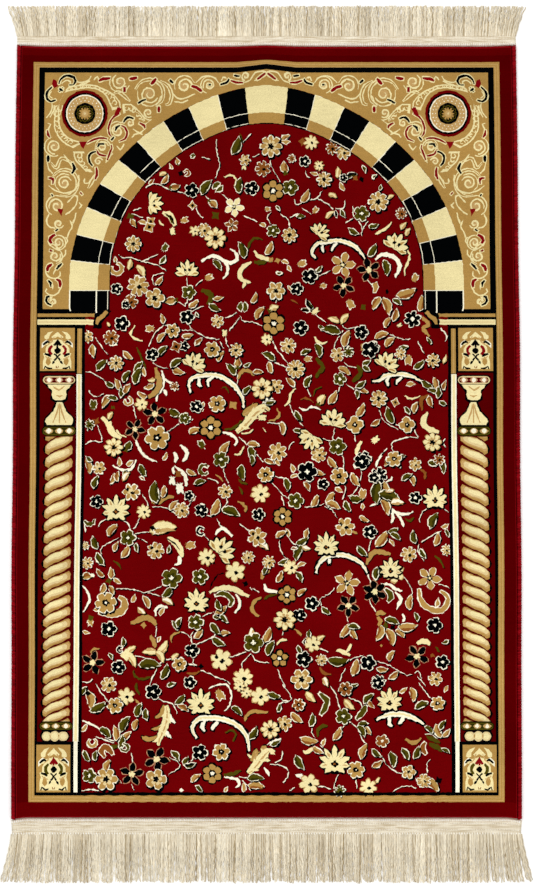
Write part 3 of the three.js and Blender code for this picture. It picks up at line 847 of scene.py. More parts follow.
def draw_arch(chart):
    """The tan spandrels' ground and the arch of light and dark blocks."""
    chart.mirror = True
    top = [arch_point(ARCH_OUTER, a) for a in range(0, 92, 2)]
    chart.lay("black", marks("-318,700 -318,1036.5 0,1036.5") + top + marks("-273.2,696.5 -318,690"), 5)
    chart.lay("tan", marks("-310,703 -310,1029.8 0,1029.8") + top + [(-273.2, 703)], 4)
    chart.lay("black", arch_block(ARCH_LINE, ARCH_OUTER, 0, 99.6), 4)
    for k, (start, end) in enumerate(zip(JOINTS, JOINTS[1:])):
        if k % 2:
            chart.lay("ivory", arch_block(ARCH_INNER, ARCH_OUTER, start - 0.08, end + 0.08))
            chart.lay("cream", arch_block(BAND_SPLIT, ARCH_OUTER, start + 0.1, end - 0.1))
            chart.lay("tan", arch_block(ARCH_INNER, BAND_SPLIT, start + 0.1, end - 0.1))
        else:
            chart.lay("ivory", arch_block(234, 235, start, end))
            chart.lay("ivory", arch_block(ARCH_INNER + 0.8, 219.6, start, end))
    chart.lay("cream", arch_block(BAND_SPLIT, ARCH_OUTER, 0, JOINTS[0]))
    chart.lay("tan", arch_block(ARCH_INNER, BAND_SPLIT, 0, JOINTS[0] - 0.1))
    for u in (-236.6, -220.6, -273.2):
        chart.box("ivory", u, 697, u + 1.4, 728)


def twin(chart, route, width=4.4):
    """Two fine light lines side by side."""
    chart.lay("cream", ribbon(route, width + 1, (0.5, 0.5)))
    chart.lay("tan", ribbon(route, width - 2.4, (0.5, 0.5)))


def fine(chart, route, width=2.1):
    chart.lay("cream", ribbon(route, width, (0.6, 0.8)))


def scale_band(chart, outer, inner):
    """A crescent between two curves, filled with small curls like scales."""
    outside, inside = smooth(outer), smooth(inner)
    chart.lay("cream", np.concatenate([outside, inside[::-1]]))
    middle = (outside.mean(0) + inside.mean(0)) / 2
    slim = []
    for run, side in ((outside, -1), (inside, 1)):
        across = heading(run)[1]
        across *= np.sign(((middle - run) * across).sum(1, keepdims=True).mean())
        slim.append(run - across * 1.9 * side)
    chart.lay("tan", np.concatenate([slim[0][1:-1], slim[1][1:-1][::-1]]))
    steps = max(3, int(len(outside) / 2.2))
    for k in range(1, steps):
        share = k / steps
        a = outside[int(share * (len(outside) - 1))]
        b = inside[int(share * (len(inside) - 1))]
        gap = np.linalg.norm(b - a)
        if gap > 5:
            curl = spiral(*(a + (b - a) * 0.5), gap * 0.1, gap * 0.3, 40 + 200 * share, 0.9)
            fine(chart, curl, 1.5)


def roundel(chart, u, v):
    """The round boss of rings in each spandrel."""
    for yarn, radius in (("field", 32.2), ("black", 28.9), ("ivory", 26.0), ("sand", 24.5)):
        chart.put(yarn, disc(radius, 44), u, v)
    for reach, count, size in ((21.4, 26, 0.9), (17.6, 20, 0.8)):
        for k in range(count):
            angle = 2 * math.pi * k / count
            dot = placed(disc(size, 5), u + reach * math.cos(angle), v + reach * math.sin(angle))
            chart.lay("ivory", dot)
    chart.put("black", disc(14.8, 24), u, v)
    chart.put("olive", petalled(12.0, 12, 0.12), u, v)
    chart.put("black", petalled(11.0, 12, 0.25), u, v)
    chart.put("tan", petalled(9.0, 12, 0.35), u, v)
    chart.put("sand", disc(4.6, 10), u, v)
    chart.put("straw", disc(1.8, 8), u, v)


SCALE_BANDS = [
    routes("""
-281,1003 -277.5,1009 -263,1012.5 -244.7,1013.4 -230,1009 -214,1000.5 -204.6,989.7 -202.8,980;
-282.4,1001.7 -269,1005 -249.6,1007.7 -235,1005 -224,997 -218,985 -215,977.7"""),
    routes("""
-294.5,975 -296.4,961 -294,948 -286,936 -276.3,928.6 -269,925;
-283,1000.5 -288.5,987 -289,970.5 -287.2,956 -280,944 -269,937 -256,933"""),
    routes("-269.2,921 -266.4,909 -259,901 -251.5,892.7; -253.4,921 -252.4,909 -247.8,900 -241.2,891.8"),
    routes("""
-201,986 -188.8,986 -176.7,976.5 -168.2,967 -159.7,964.6; -199.8,973 -188.8,973 -180.3,963.4 -168,958"""),
]
# Spirals of the scrolls: middle, outer radius, start in degrees and turns
SCROLLS = marks("""
-207,949,10,200,-1.5 -227.7,927.4,8,150,-1.4 -233.8,907,6,120,-1.3 -190,960,6,40,1.2
-295.4,927.3,10.4,60,1.6 -280.9,877,10,200,-1.5 -291.6,845.6,11,20,1.5 -288.8,820.7,7,200,1.4
-289,794.6,8,60,-1.5 -293.7,776,8,240,1.4 -295,712.4,4.5,100,1.2 -163.3,1000,13,120,1.6
-204.6,1016.7,11,300,-1.5 -164.5,974,7,200,1.3 -114.2,1011.3,11,160,-1.5 -80,1012.5,9,30,1.5
-29,1023.8,6,150,1.3""")
TWIN_LINES = [
    marks("-148.3,1018.4 -137.3,1011.3 -132.5,999.3 -135,987.3 -141,985"),
    marks("-303.3,797.5 -299.2,792.5 -287.4,784.2"), marks("-236,891 -240.3,883.5 -244,877 -247.8,869.6"),
    spiral(-163.3, 1000, 19.5, 20.5, -60, 0.62), spiral(-280.9, 877, 18.5, 18.5, 150, -0.72),
    marks("-300,905 -292,898 -285,911.2 -270,905"), marks("-214,1000 -206,1003 -198,997 -190,990"),
]
FINE_LINES = routes("""
-265,1017 -257,1016 -248,1019.6 -245,1025; -299.4,987 -299.4,977.7 -306.7,967;
-262,1013 -254,1014.5 -246,1018; -296,985 -297,976 -302,968;
-98.4,1016 -87.5,1024.4 -74.1,1023.2 -66.8,1016; -63,1018.4 -60.7,1023.2 -55,1022;
-31.6,1015.5 -23,1018.4 -15.8,1026.8 -4.9,1027.5 0,1026; -17,1017.5 -8,1019;
-130,1000.5 -125,994.5 -116.6,993.3 -107,996.9 -99.6,1000.5; -128.8,989.7 -116.6,988.5 -109.3,992;
-169,952 -176,946 -184,944 -187,940; -252.4,883.5 -253.4,877 -247,877 -245,881.7;
-241,1019 -236,1024 -232,1016; -276.7,850 -266.4,860.4 -262.7,858.6 -264.5,847.5 -272,838.2 -279.5,833.6;
-260.8,850.3 -257,846.6 -260.8,842; -264.5,836.4 -266.4,828 -269.2,821.6;
-301.9,834.6 -305.6,825.3 -301.9,817 -293.5,814.3; -273,826.3 -270,817 -274.8,808.7 -276.7,800.4;
-279,802.5 -276.6,796.7 -280,791.7; -279,785 -279,779.3 -284,773.4 -291.6,768.5; -292.4,757.6 -295.8,751;
-306.7,757.7 -305,751 -299,746 -291.6,745.2 -286.6,749.4 -286.6,755.2;
-285,742 -284.5,733.6 -288.3,726 -294,722 -300.8,722.8 -305.9,727 -304,731;
-297.5,739.4 -295.8,735.3 -296.6,729.4; -296.7,720.4 -300,714.5;
-302.8,873.3 -293.5,867 -279.5,863 -266.4,867.8 -260.8,878.9 -260.8,888; -305,960 -301,958 -304,951;
-286,1014 -280,1019 -274,1017 -274,1011; -300,1004 -303,998 -298,994;
-282,917 -276,908 -270,900 -262,896; -305,905 -303,897 -297,890; -224,905 -219,912 -214,918;
-208,928 -203,923 -198,931; -186,952 -180,948 -172,944""")
RED_STROKES = routes("""
2.2 -204.6,973 -214.3,967 -219.2,956 -219.2,946.6 -215.5,940.6;
2.2 -249.6,932 -239.9,937 -230,939.4 -221.6,937.6;
2.2 -203.4,956.8 -197.3,953.8 -193.7,945.4 -197.3,938.2 -204.6,934.6;
2.2 -237.4,923.8 -232.6,916.6 -222.8,914.3; 2.2 -216.2,929.8 -215,925 -218,917.8 -221.6,908.3;
3 -177,960 -170,956 -169.4,952.6; 3 -236.8,898.7 -235.6,890.3 -238,882; 4 -191.3,1020.8 -180.3,1022.6;
4 -160.9,1013.4 -153.6,1021.4; 4 -233.8,1017.8 -227.7,1020.8 -218,1022;
3 -304.9,950 -304.2,944.2 -301.8,940; 4 -198,1010 -198,1003; 4 -150,983 -150,975;
4 -105,1011.3 -97.2,1008.9 -89.9,1003.5; 3 -49.8,1019 -42.5,1016 -32.8,1015.5;
3 -303,884 -297,883 -297,876; 4 -293.3,805.8 -300,801.7 -300.8,797.5 -298.3,793.4; 4 -301,784 -297,783;
4 -297.5,765 -302.5,761.8 -304,755; 4 -291.6,744.4 -287.4,742 -285.8,737 -286.6,732.8;
3 -259,864 -256,861; 3 -13.4,1018.4 -7.3,1022 -1,1025""")
BLACK_STROKES = routes("""
3 -290,1014 -287,1021 -278.7,1025.6 -269,1022.6 -266.6,1018.4 -270,1012.4 -275,1012.4;
3 -299.4,1010 -306,1003 -306.7,994.5 -300.6,989.7 -294,992; 3 -210.7,949 -208.9,953.8 -203.4,956.8;
3 -199,961 -196,965.7 -190.6,968 -184.6,965.7; 3 -235,926.8 -232.6,931 -225.3,930.4;
3 -237.4,920.8 -244.7,917.8 -247.1,911.8 -245.3,904.7 -241.7,901; 3 -216,936 -212,941;
4 -303.6,915.4 -303.6,906.5; 3.5 -270.1,904.8 -266.9,896.4 -271,890; 3 -299,862 -297.2,858.6;
3 -289.7,813.3 -293.5,810.5; 3 -168.2,992.7 -174.2,990.3 -179,987.3; 3 -134.9,1019.6 -130,1014.9;
3 -81,1013 -77,1013; 3 -52.2,1020.8 -55.9,1016 -64.4,1013; 3 -45.5,1026 -37.6,1024;
3 -284,766 -288.3,761.8 -291.6,758; 3 -302.5,742.7 -299,738.6 -298.7,733.6;
3 -300,720.4 -304,719.5 -305,714.5 -302.5,710.4 -297.5,707.9; 3 -289,1003 -284,1009;
3 -289,1008 -284,1004""")
WEDGES = routes("""
-261,934 -249.6,934.6 -255,924; -208,982 -202,980 -207,970 -214,967;
-300,1014 -298,1021 -293,1019 -291,1011 -296,1008; -291,841.6 -282.3,841 -284.8,830.6;
-206,986 -204,981 -207,979""")


def draw_spandrels(chart):
    """The scrollwork in the corners above the arch."""
    chart.mirror = True
    for outer, inner in SCALE_BANDS:
        scale_band(chart, outer, inner)
    for route in TWIN_LINES:
        twin(chart, route)
    for u, v, radius, start, turns in SCROLLS:
        chart.put("sand", disc(radius * 0.55, 12), u, v)
        fine(chart, spiral(u, v, radius * 0.2, radius, start, turns), 2.2)
        if radius > 7.5:
            fine(chart, spiral(u, v, radius * 1.3, radius * 1.3, start + 40, turns * 0.34), 1.6)
    for route in FINE_LINES:
        fine(chart, route)
    for yarn, strokes in (("crimson", RED_STROKES), ("black", BLACK_STROKES)):
        for (width,), *route in strokes:
            chart.lay("cream", ribbon(route, width + 0.5, (0.6, 0.6), grow=1.2))
            chart.lay(yarn, ribbon(route, width + 0.5, (0.6, 0.6)))
    for wedge in WEDGES:
        chart.lay("crimson", wedge)
    roundel(chart, -253, 973)


def paired(chart, yarn, outline):
    """An outline drawn at both sides of the column's middle."""
    outline = np.asarray(outline, float)
    chart.lay(yarn, outline + (COLUMN, 0))
    chart.lay(yarn, outline[::-1] * (-1, 1) + (COLUMN, 0))


def arabesque(chart, low, stretch, spade, horns):
    """The leaf scroll of the capital and the base, drawn from its foot upward."""

    def up(text):
        return [(u, low + (v - 617.7) * stretch) for u, v in marks(text)]

    def thin(yarn, width, text):
        paired(chart, yarn, ribbon(up(text), width, (0.8, 0.8)))

    paired(chart, "cream", up("""
5.6,672.6 13.2,670.3 17.7,665.8 18,662 14.7,660.5 11.3,662 10.9,666.5 7.8,670.3"""))
    paired(chart, "cream", up("0,671.8 4.8,667.3 8.6,664.3 5.6,662 0,664.7"))
    paired(chart, "cream", up("""
0,661 3.3,660.5 10,658.2 14.7,659 20,654.4 20,650 16.2,653 13.2,653 16.2,648.4 16.2,642.3 19.2,641.6
17.7,636.3 19.2,630.2 19.2,619.7 0,619.7"""))
    paired(chart, "ivory", up("12,659.5 16,660 21,655 21,649 19,652 15,657"))
    eye_low = low + (631 - 617.7) * stretch
    paired(chart, "tan", placed(oval(12 * stretch, 7.4), 12.4, eye_low, 90))
    thin("black", 3.2, "10.6,656 13.2,657.8 16.2,656.3 19.2,653.3")
    paired(chart, spade, up("0,661.4 2.8,657.6 6.2,653 3,651.6 1.2,653 1.2,650.2 0,650.2"))
    chart.put("black", petalled(4.6, 4, 0.2), COLUMN, low + (645.6 - 617.7) * stretch)
    thin(horns, 4.2, "7,652.4 10.8,648.4 11,643.9 7.6,640")
    thin("black", 3.2, "17,641 12.4,640 9,637.4")
    thin("black", 2.4, "4.4,641 0.4,636.5 4,632")
    thin("sand", 1.8, "16,638 12.6,634.6 8,633.6")
    thin("sand", 1.8, "4.6,665 8,657.4 14,653.2")
    paired(chart, "black", placed(oval(6.4, 3.2), 5.5, low + (629.3 - 617.7) * stretch, -60))
    thin("black", 2.2, "7,621.2 11.6,620.4 16.2,623.8 17.7,620")
    thin("rust", 1.4, "0.6,621 1.6,624")


def capsule(chart, yarn, low, high, width, centre=COLUMN + 2.6):
    """A ring of the column seen from the side, with rounded ends and a dark edge."""
    middle = (low + high) / 2
    route = [(centre - width / 2 + (high - low) / 2, middle), (centre + width / 2 - (high - low) / 2, middle)]
    chart.lay("black", ribbon(route, high - low + 2.8, (1, 1)))
    for u, v in route:
        chart.put("black", disc((high - low) / 2 + 1.4, 12), u, v)
    inner = "moss" if yarn == "olive" else "border"
    rim = "olive" if yarn == "olive" else "straw"
    for tone, size in ((rim, high - low), (inner, high - low - 3.4)):
        chart.lay(tone, ribbon(route, size, (1, 1)))
        for u, v in route:
            chart.put(tone, disc(size / 2, 12), u, v)
    for k in (-1, 0, 1):
        u = centre + k * width * 0.31
        diamond = oval(width * 0.27, (high - low) * 0.7, 0, 0.5)
        chart.put(yarn if yarn == "rose" else "sand", diamond, u, middle)
        chart.put("ivory", petalled((high - low) * 0.3, 4, 0.2), u, middle)


# The lighter yarns of a lobe: the yarn, its share of the lobe and how far it slides
ROPE_SHADES = (("sand", 0.9, (-0.4, 0.8)), ("straw", 0.74, (-1.2, 1.5)), ("cream", 0.46, (-2.4, 2.2)))


def draw_rope(chart, low, high):
    """The twisted shaft: slanted lobes, light above and darker below."""
    left, right = -307.5, -270.5
    rise, gap = 15.8, 3.3
    places = [high + 9]
    while places[-1] > low - 18:
        share = (high - places[-1]) / (high - low)
        places.append(places[-1] - (18.3 - 3.5 * min(1, max(0, share))))
    for v in places:
        chart.put("black", disc(8.6, 12), left + 6.0, v - 9)
    chart.box("border", left + 1.2, low, right + 1.6, high, 4)
    for v, below in zip(places, places[1:]):
        top = [(left + 3.5, v - 3.2), (left + 12, v + rise * 0.3), (left + 25, v + rise * 0.62),
               (right - 1.5, v + rise - 1.2)]
        bottom = [(right - 4, below + rise * 0.9 + gap), (left + 24, below + rise * 0.56 + gap),
                  (left + 12, below + rise * 0.26 + gap), (left + 5, below - 1.5 + gap)]
        end = [(right + 1.6, v + rise - 6), (right + 0.2, v + rise - 12.5)]
        start = [(left + 0.4, below + 4.2), (left + 0.4, v - 7.5)]
        outline = smooth(top, 3).tolist() + end + smooth(bottom, 3).tolist() + start
        chart.lay("tan", [(u, min(max(w, low), high)) for u, w in outline])
        centre = np.mean(outline, axis=0)
        for tone, size, slide in ROPE_SHADES:
            shade = (np.array(outline) - centre) * (size + 0.08, size * 0.86) + centre + slide
            chart.lay(tone, [(u, min(max(w, low), high)) for u, w in shade])
    chart.box("border", -314, high - 0.5, -266, high + 3, 4)


def draw_columns(chart):
    """The impost, the capital, the twisted column and its base, at both sides."""
    chart.mirror = True
    chart.box("black", -318, 30.2, -252.5, 700, 5)
    chart.box("tan", -316.5, 691.8, -237, 696.8, 5)
    chart.box("cream", -317, 681.4, -235, 688.6, 5)
    chart.box("straw", -316, 684.4, -237, 685.4, 5)
    chart.lay("black", marks("-240,676 -238,697 -224,704 -214.5,700 -228,683 -228,676"))
    chart.lay("tan", marks("-237,682 -235,691 -222,701 -218.5,697.5 -230,687 -233,681.5"))
    chart.box("tan", -313.8, 617.7, -267.2, 676.4, 5)
    chart.box("tan", -263.4, 614, -257.7, 676, 5)
    chart.box("sand", -261.4, 614, -259.7, 676, 5)
    chart.box("ivory", -264.5, 105, -257, 613, 5)
    chart.box("cream", -263.2, 105, -259.2, 612, 5)
    chart.box("ivory", -263.3, 35, -258.4, 105.4, 5)
    arabesque(chart, 617.7, 1.0, "black", "crimson")
    chart.box("border", -314, 105, -265.6, 614.7, 5)
    chart.lay("black", marks("""
-311,610 -307,597 -303.6,593 -300,588 -300.4,578 -294.5,573 -299,562 -309,552 -310,541 -266,541
-266.4,552 -276.6,562 -281.6,573 -276,578 -276,588 -273,593 -269,597 -266,610"""))
    capsule(chart, "rose", 599.3, 610.3, 44)
    chart.lay("cream", marks("""
-304.6,598.3 -302,594 -297.6,590 -298.6,585 -297,579 -293,576.6 -284,576.6 -280,579 -278.2,585 -279,590
-274.6,594 -272.2,598.3"""))
    fine_sand = [marks("-297,596 -289,591 -281,596"), marks("-293,584 -288,582 -283,584")]
    for route in fine_sand:
        chart.lay("sand", ribbon(route, 2.4))
    chart.lay("cream", marks("""
-291.5,574.4 -296,562 -306,552 -307.6,547 -305,543 -272,543 -268.8,547 -270,553 -279,562 -284,574.4"""))
    for route in (marks("-289,572 -292,558 -297,546"), marks("-288,572 -288,558 -288,545"),
                  marks("-287,572 -284,558 -279,546")):
        chart.lay("sand", ribbon(route, 2.2))
    chart.box("ivory", -305, 526.5, -274, 529, 3)
    draw_rope(chart, 133.5, 527.4)
    capsule(chart, "olive", 528.4, 540.4, 45)
    capsule(chart, "olive", 121.4, 131.6, 45)
    for tone, grow in (("black", 2.2), ("straw", 0), ("cream", -2.2)):
        for u, radius in ((-301, 6.8), (-289.5, 7.2), (-278, 6.8)):
            chart.put(tone, disc(radius + grow, 14), u, 112.6)
    for u in (-296, -284.5):
        chart.put("tan", oval(6, 1.4), u, 113, 90)
    chart.box("black", -316, 101.2, -265, 105.6, 4)
    chart.box("tan", -315, 35.3, -268, 101.2, 5)
    arabesque(chart, 35.3, 1.12, "crimson", "olive")
    chart.mirror = False
    chart.box("black", -318, 30.2, 318, 35.1, 5)
    # The crimson strips along the head and foot are a painted highlight where the pile rolls over the ends.
    chart.box("crimson", -347, 1063, 347, 1075, 8)
    chart.box("crimson", -347, -6, 347, 1.9, 8)


def drawn_chart():
    """The whole design, from the ground up."""
    chart = Chart()
    draw_border(chart)
    draw_field(chart)
    for u in (-259.0, 259.0):
        chart.box("black", u - 6.5, 30.2, u + 6.5, 700, 5)
    draw_arch(chart)
    draw_spandrels(chart)
    draw_columns(chart)
    return chart


# The woven pile: a flat sheet whose triangles follow the chart's outlines
TOP_RIGHT = CHART_HALF_WIDTH - CORD_WIDTH - PIECE_GAP - EDGE_INSET
TOP_LEFT = -TOP_RIGHT
TOP_LOW, TOP_HIGH = EDGE_INSET, PILE_LENGTH - EDGE_INSET
FACE_CORNERS = box_outline(TOP_LEFT, TOP_LOW, TOP_RIGHT, TOP_HIGH)


def warped(points):
    """Chart points as the cloth really lies: its taper, its corners and its centre crease."""
    u, v = points[:, 0], points[:, 1]
    x = u / CHART_HALF_WIDTH * half_width(np.clip(v / PILE_LENGTH, 0, 1))
    foot_share = np.clip(1 - v / 120, 0, 1)
    head_share = np.clip(1 - (PILE_LENGTH - v) / 60, 0, 1)
    crease = np.interp(v, [1008, 1030, 1036, 1044, 1066], [0, 4.4, 4.4, 2.6, 0])
    crease *= np.maximum(0, 1 - np.abs(u) / 41)
    sway = 1.1 * np.sin(v / 150 + 0.6) * np.sin(u / 190)
    y = v + foot_edge(x) * foot_share + (head_edge(x) - PILE_LENGTH) * head_share + crease
    inner = np.clip((318 - np.abs(u)) / 30, 0, 1)
    inside = np.where(v < 700, 255 - np.abs(u), 216 - np.hypot(u, v - ARCH_CENTRE))
    ragged = 0.1 + 0.42 * np.clip(inside / 6, 0, 1)
    ragged *= np.clip((340 - np.abs(u)) / 10, 0, 1) * np.clip(np.minimum(v - 12, 1054 - v) / 10, 0, 1)
    lean = 2.3 * np.clip((v - 60) / 500, 0, 1) * np.clip((704 - v) / 6, 0, 1)
    lean *= np.clip((318 - np.abs(u)) / 5, 0, 1) * np.clip((np.abs(u) - 246) / 6, 0, 1)
    x = x - np.sign(u) * lean + sway * inner * 0.5 + ragged * np.sin(v * 0.9 + 2 * np.sin(u * 0.5))
    y = y + ragged * np.sin(u * 0.95 + 2 * np.sin(v * 0.47))
    return np.stack([x, y + FOOT_LINE], 1)


def painted(shapes, centres):
    """For each centre, the last yarn that was laid over it."""
    names = list(YARNS)
    order = np.argsort(centres[:, 1])
    across, along = centres[order, 0], centres[order, 1]
    result = np.zeros(len(centres), int)
    for yarn, outline in shapes:
        low, high = outline.min(0), outline.max(0)
        start, stop = np.searchsorted(along, (low[1], high[1]))
        near = np.nonzero((across[start:stop] >= low[0]) & (across[start:stop] <= high[0]))[0] + start
        ax, ay = outline[:, :1], outline[:, 1:]
        bx, by = np.roll(ax, -1, axis=0), np.roll(ay, -1, axis=0)
        slope = (bx - ax) / np.where(by == ay, 1e-9, by - ay)
        for part in np.array_split(near, max(1, len(near) // 6000)):
            px, py = across[part], along[part]
            crossing = ((ay > py) != (by > py)) & (px < ax + slope * (py - ay))
            winding = (crossing * np.sign(by - ay)).sum(0)
            result[order[part[winding != 0]]] = names.index(yarn)
    return [names[k] for k in result]


def woven_mesh(chart):
    """Points, triangles and yarns of the pile's face, from the chart's outlines."""
    points, edges = [], []
    outlines = [Chart.knotted(np.array(FACE_CORNERS, float), 7)]
    outlines += [outline for _, outline in chart.shapes]
    for outline in outlines:
        start, count = len(points), len(outline)
        clipped = np.clip(outline, FACE_CORNERS[0], FACE_CORNERS[2])
        points.extend(Vector(p) for p in clipped.tolist())
        edges.extend((start + i, start + (i + 1) % count) for i in range(count))
    start = len(points)
    points.extend(Vector(p) for p in FACE_CORNERS)
    edges.extend((start + i, start + (i + 1) % 4) for i in range(4))
    flat, _, triangles, *_ = delaunay_2d_cdt(points, edges, [], 0, 1e-4, True)
    flat = np.array([tuple(p) for p in flat])
    triangles = np.array(triangles)
    a, b, c = (flat[triangles[:, k]] for k in range(3))
    area = (b[:, 0] - a[:, 0]) * (c[:, 1] - a[:, 1]) - (b[:, 1] - a[:, 1]) * (c[:, 0] - a[:, 0])
    triangles[area < 0] = triangles[area < 0][:, ::-1]
    return flat, triangles, painted(chart.shapes, (a + b + c) / 3)


def rim_loop(flat):
    """The numbers of the face's rim points, anticlockwise from the lower left corner."""
    u, v = flat[:, 0], flat[:, 1]
    loop = []
    for off_side, way in ((v - TOP_LOW, u), (u - TOP_RIGHT, v), (v - TOP_HIGH, -u), (u - TOP_LEFT, -v)):
        numbers = np.nonzero(np.abs(off_side) < 1e-3)[0]
        numbers = numbers[np.argsort(way[numbers])]
        loop.extend(n for n in numbers.tolist() if n not in loop[-1:] and n not in loop[:1])
    return loop


def pile_object(chart, thickness):
    """The pile cloth as one closed mesh with a colour for each corner."""
    flat, triangles, tones = woven_mesh(chart)
    ground = warped(flat)
    swell = 0.22 * np.sin(ground[:, 0] / 47) * np.sin(ground[:, 1] / 63)
    edge_fade = np.clip((340 - np.abs(flat[:, 0])) / 40, 0, 1)
    points = [tuple(p) for p in np.column_stack([ground, thickness + swell * edge_fade]) * MM]
    faces = triangles.tolist()

    loop = rim_loop(flat)
    u, v = flat[loop].T
    out_x = np.where(np.abs(u) > TOP_RIGHT - 1e-3, np.sign(u), 0)
    out_y = np.where(v < TOP_LOW + 1e-3, -1, np.where(v > TOP_HIGH - 1e-3, 1, 0))
    outward = np.stack([out_x, out_y], 1)
    last = loop
    # The edge steps down to the floor in three rings; its faces are painted crimson, to match the overcast
    # cord at the sides and as a painted highlight where the pile rolls over the head and foot.
    for inset, height in (((0.35, 0.35), 7.2), ((0, 0), 0.5), ((-1.2, 0), 0)):
        ring = ground[loop] + outward * (EDGE_INSET - np.array(inset))
        start = len(points)
        points.extend(tuple(p) for p in np.column_stack([ring, np.full(len(loop), height)]) * MM)
        this = list(range(start, start + len(loop)))
        for i in range(len(loop)):
            j = (i + 1) % len(loop)
            faces.append([last[i], this[i], this[j], last[j]])
            tones.append("crimson")
        last = this
    faces.append(last[::-1])
    tones.append("backing")

    mesh = bpy.data.meshes.new("woven_pile")
    mesh.from_pydata(points, [], faces)
    per_corner = [(*YARNS[tone], 1.0) for tone, face in zip(tones, faces) for _ in face]
    layer = mesh.color_attributes.new("yarn", "FLOAT_COLOR", "CORNER")
    layer.data.foreach_set("color", np.array(per_corner, dtype=np.float32).ravel())
    mesh.validate()
    mesh.update()
    return linked("woven_pile", mesh)


def linked(name, data):
    """A new object of the data, in the scene."""
    thing = bpy.data.objects.new(name, data)
    bpy.context.scene.collection.objects.link(thing)
    return thing


class Nodes:
    """Adds nodes to a tree and wires them to values, sockets or fields."""

    def add(self, kind, wires=None, **settings):
        node = self.nodes.new(kind if "Node" in kind else self.prefix + kind)
        for key, value in settings.items():
            setattr(node, key, value)
        for label, value in (wires or {}).items():
            socket = node.inputs[label] if isinstance(label, int) else self.shown(node.inputs, label)
            value = value.socket if isinstance(value, Field) else value
            if isinstance(value, bpy.types.NodeSocket):
                self.links.new(value, socket)
            else:
                socket.default_value = value
        return node

    def shown(self, sockets, label):
        return next(s for s in sockets if s.enabled and s.name == label)


# Materials: each is built of nodes that read the piece's own coordinates


class Finish(Nodes):
    """A material put together step by step."""

    prefix = "ShaderNode"

    def __init__(self, name, roughness, specular):
        self.material = bpy.data.materials.new(name)
        self.material.use_nodes = True
        self.nodes = self.material.node_tree.nodes
        self.links = self.material.node_tree.links
        self.shader = self.nodes["Principled BSDF"]
        self.shader.inputs["Roughness"].default_value = roughness
        self.shader.inputs["Specular IOR Level"].default_value = specular
        self.place = self.add("TexCoord").outputs["Object"]

    def noise(self, scale, detail=2.0, stretch=(1, 1, 1)):
        """A noise from 0 to 1 with features of about 1 / scale metres."""
        where = self.add("Mapping", {"Vector": self.place, "Scale": stretch})
        wires = {"Vector": where.outputs["Vector"], "Scale": scale, "Detail": detail}
        return self.add("TexNoise", wires).outputs["Fac"]

    def spread(self, value, low, high, start=0.3, end=0.7):
        wires = {"Value": value, "From Min": start, "From Max": end, "To Min": low, "To Max": high}
        return self.add("MapRange", wires).outputs["Result"]

    def times(self, a, b):
        return self.add("Math", {0: a, 1: b}, operation="MULTIPLY").outputs[0]

    def tinted(self, colour, value):
        """The colour made lighter and darker by a value about 1."""
        return self.add("HueSaturation", {"Color": colour, "Value": value}).outputs["Color"]

    def mixed(self, share, low, high):
        node = self.add("Mix", {"Factor": share, "A": low, "B": high}, data_type="RGBA")
        return self.shown(node.outputs, "Result")

    def relief(self, heights):
        """Bumps laid over each other: pairs of a height and how far it reaches in metres."""
        normal = None
        for height, reach in heights:
            wires = {"Height": height, "Distance": reach, "Strength": 1.0}
            if normal:
                wires["Normal"] = normal
            normal = self.add("Bump", wires).outputs["Normal"]
        self.links.new(normal, self.shader.inputs["Normal"])

    def colour(self, socket):
        self.links.new(socket, self.shader.inputs["Base Color"])
        return self.material


def pile_finish():
    """Dense cut pile: coloured knots with fibre noise, slow mottling and rows of tufts."""
    finish = Finish("cut_pile", 1.0, 0.0)
    yarn = finish.add("VertexColor", layer_name="yarn").outputs["Color"]
    # The pile is made lighter towards the foot and darker towards the head.
    head_share = finish.add("SeparateXYZ", {"Vector": finish.place}).outputs["Y"]
    foot_to_head_fade = finish.spread(head_share, 1.08, 0.9, -0.5, 0.5)
    mottle = finish.times(finish.spread(finish.noise(11, 3.0), 0.9, 1.08), foot_to_head_fade)
    fibre = finish.spread(finish.noise(900, 2.0), 0.84, 1.14)
    streak = finish.spread(finish.noise(60, 2.0, (1, 9, 1)), 0.96, 1.04)
    tone = finish.times(finish.times(mottle, fibre), streak)
    wires = {"Vector": finish.place, "Scale": 640.0}
    tuft = finish.add("TexVoronoi", wires, feature="F1").outputs["Distance"]
    finish.relief([(finish.noise(22, 2.0), 0.0012), (tuft, 0.0005), (finish.noise(1500, 2.0), 0.0002)])
    return finish.colour(finish.tinted(yarn, tone))


def yarn_finish(name, light, dark, twist, grain=(1, 1, 1)):
    """Spun yarn: two close shades, chosen for each thread, with a fine twist."""
    finish = Finish(name, 0.92, 0.03)
    own = finish.add("Attribute", attribute_name="shade").outputs["Fac"]
    base = finish.mixed(own, (*dark, 1), (*light, 1))
    fibre = finish.spread(finish.noise(twist, 2.0, grain), 0.86, 1.12)
    patch = finish.spread(finish.noise(24, 2.0), 0.93, 1.06)
    finish.relief([(finish.noise(twist * 1.6, 2.0, grain), 0.0003)])
    return finish.colour(finish.tinted(base, finish.times(fibre, patch)))


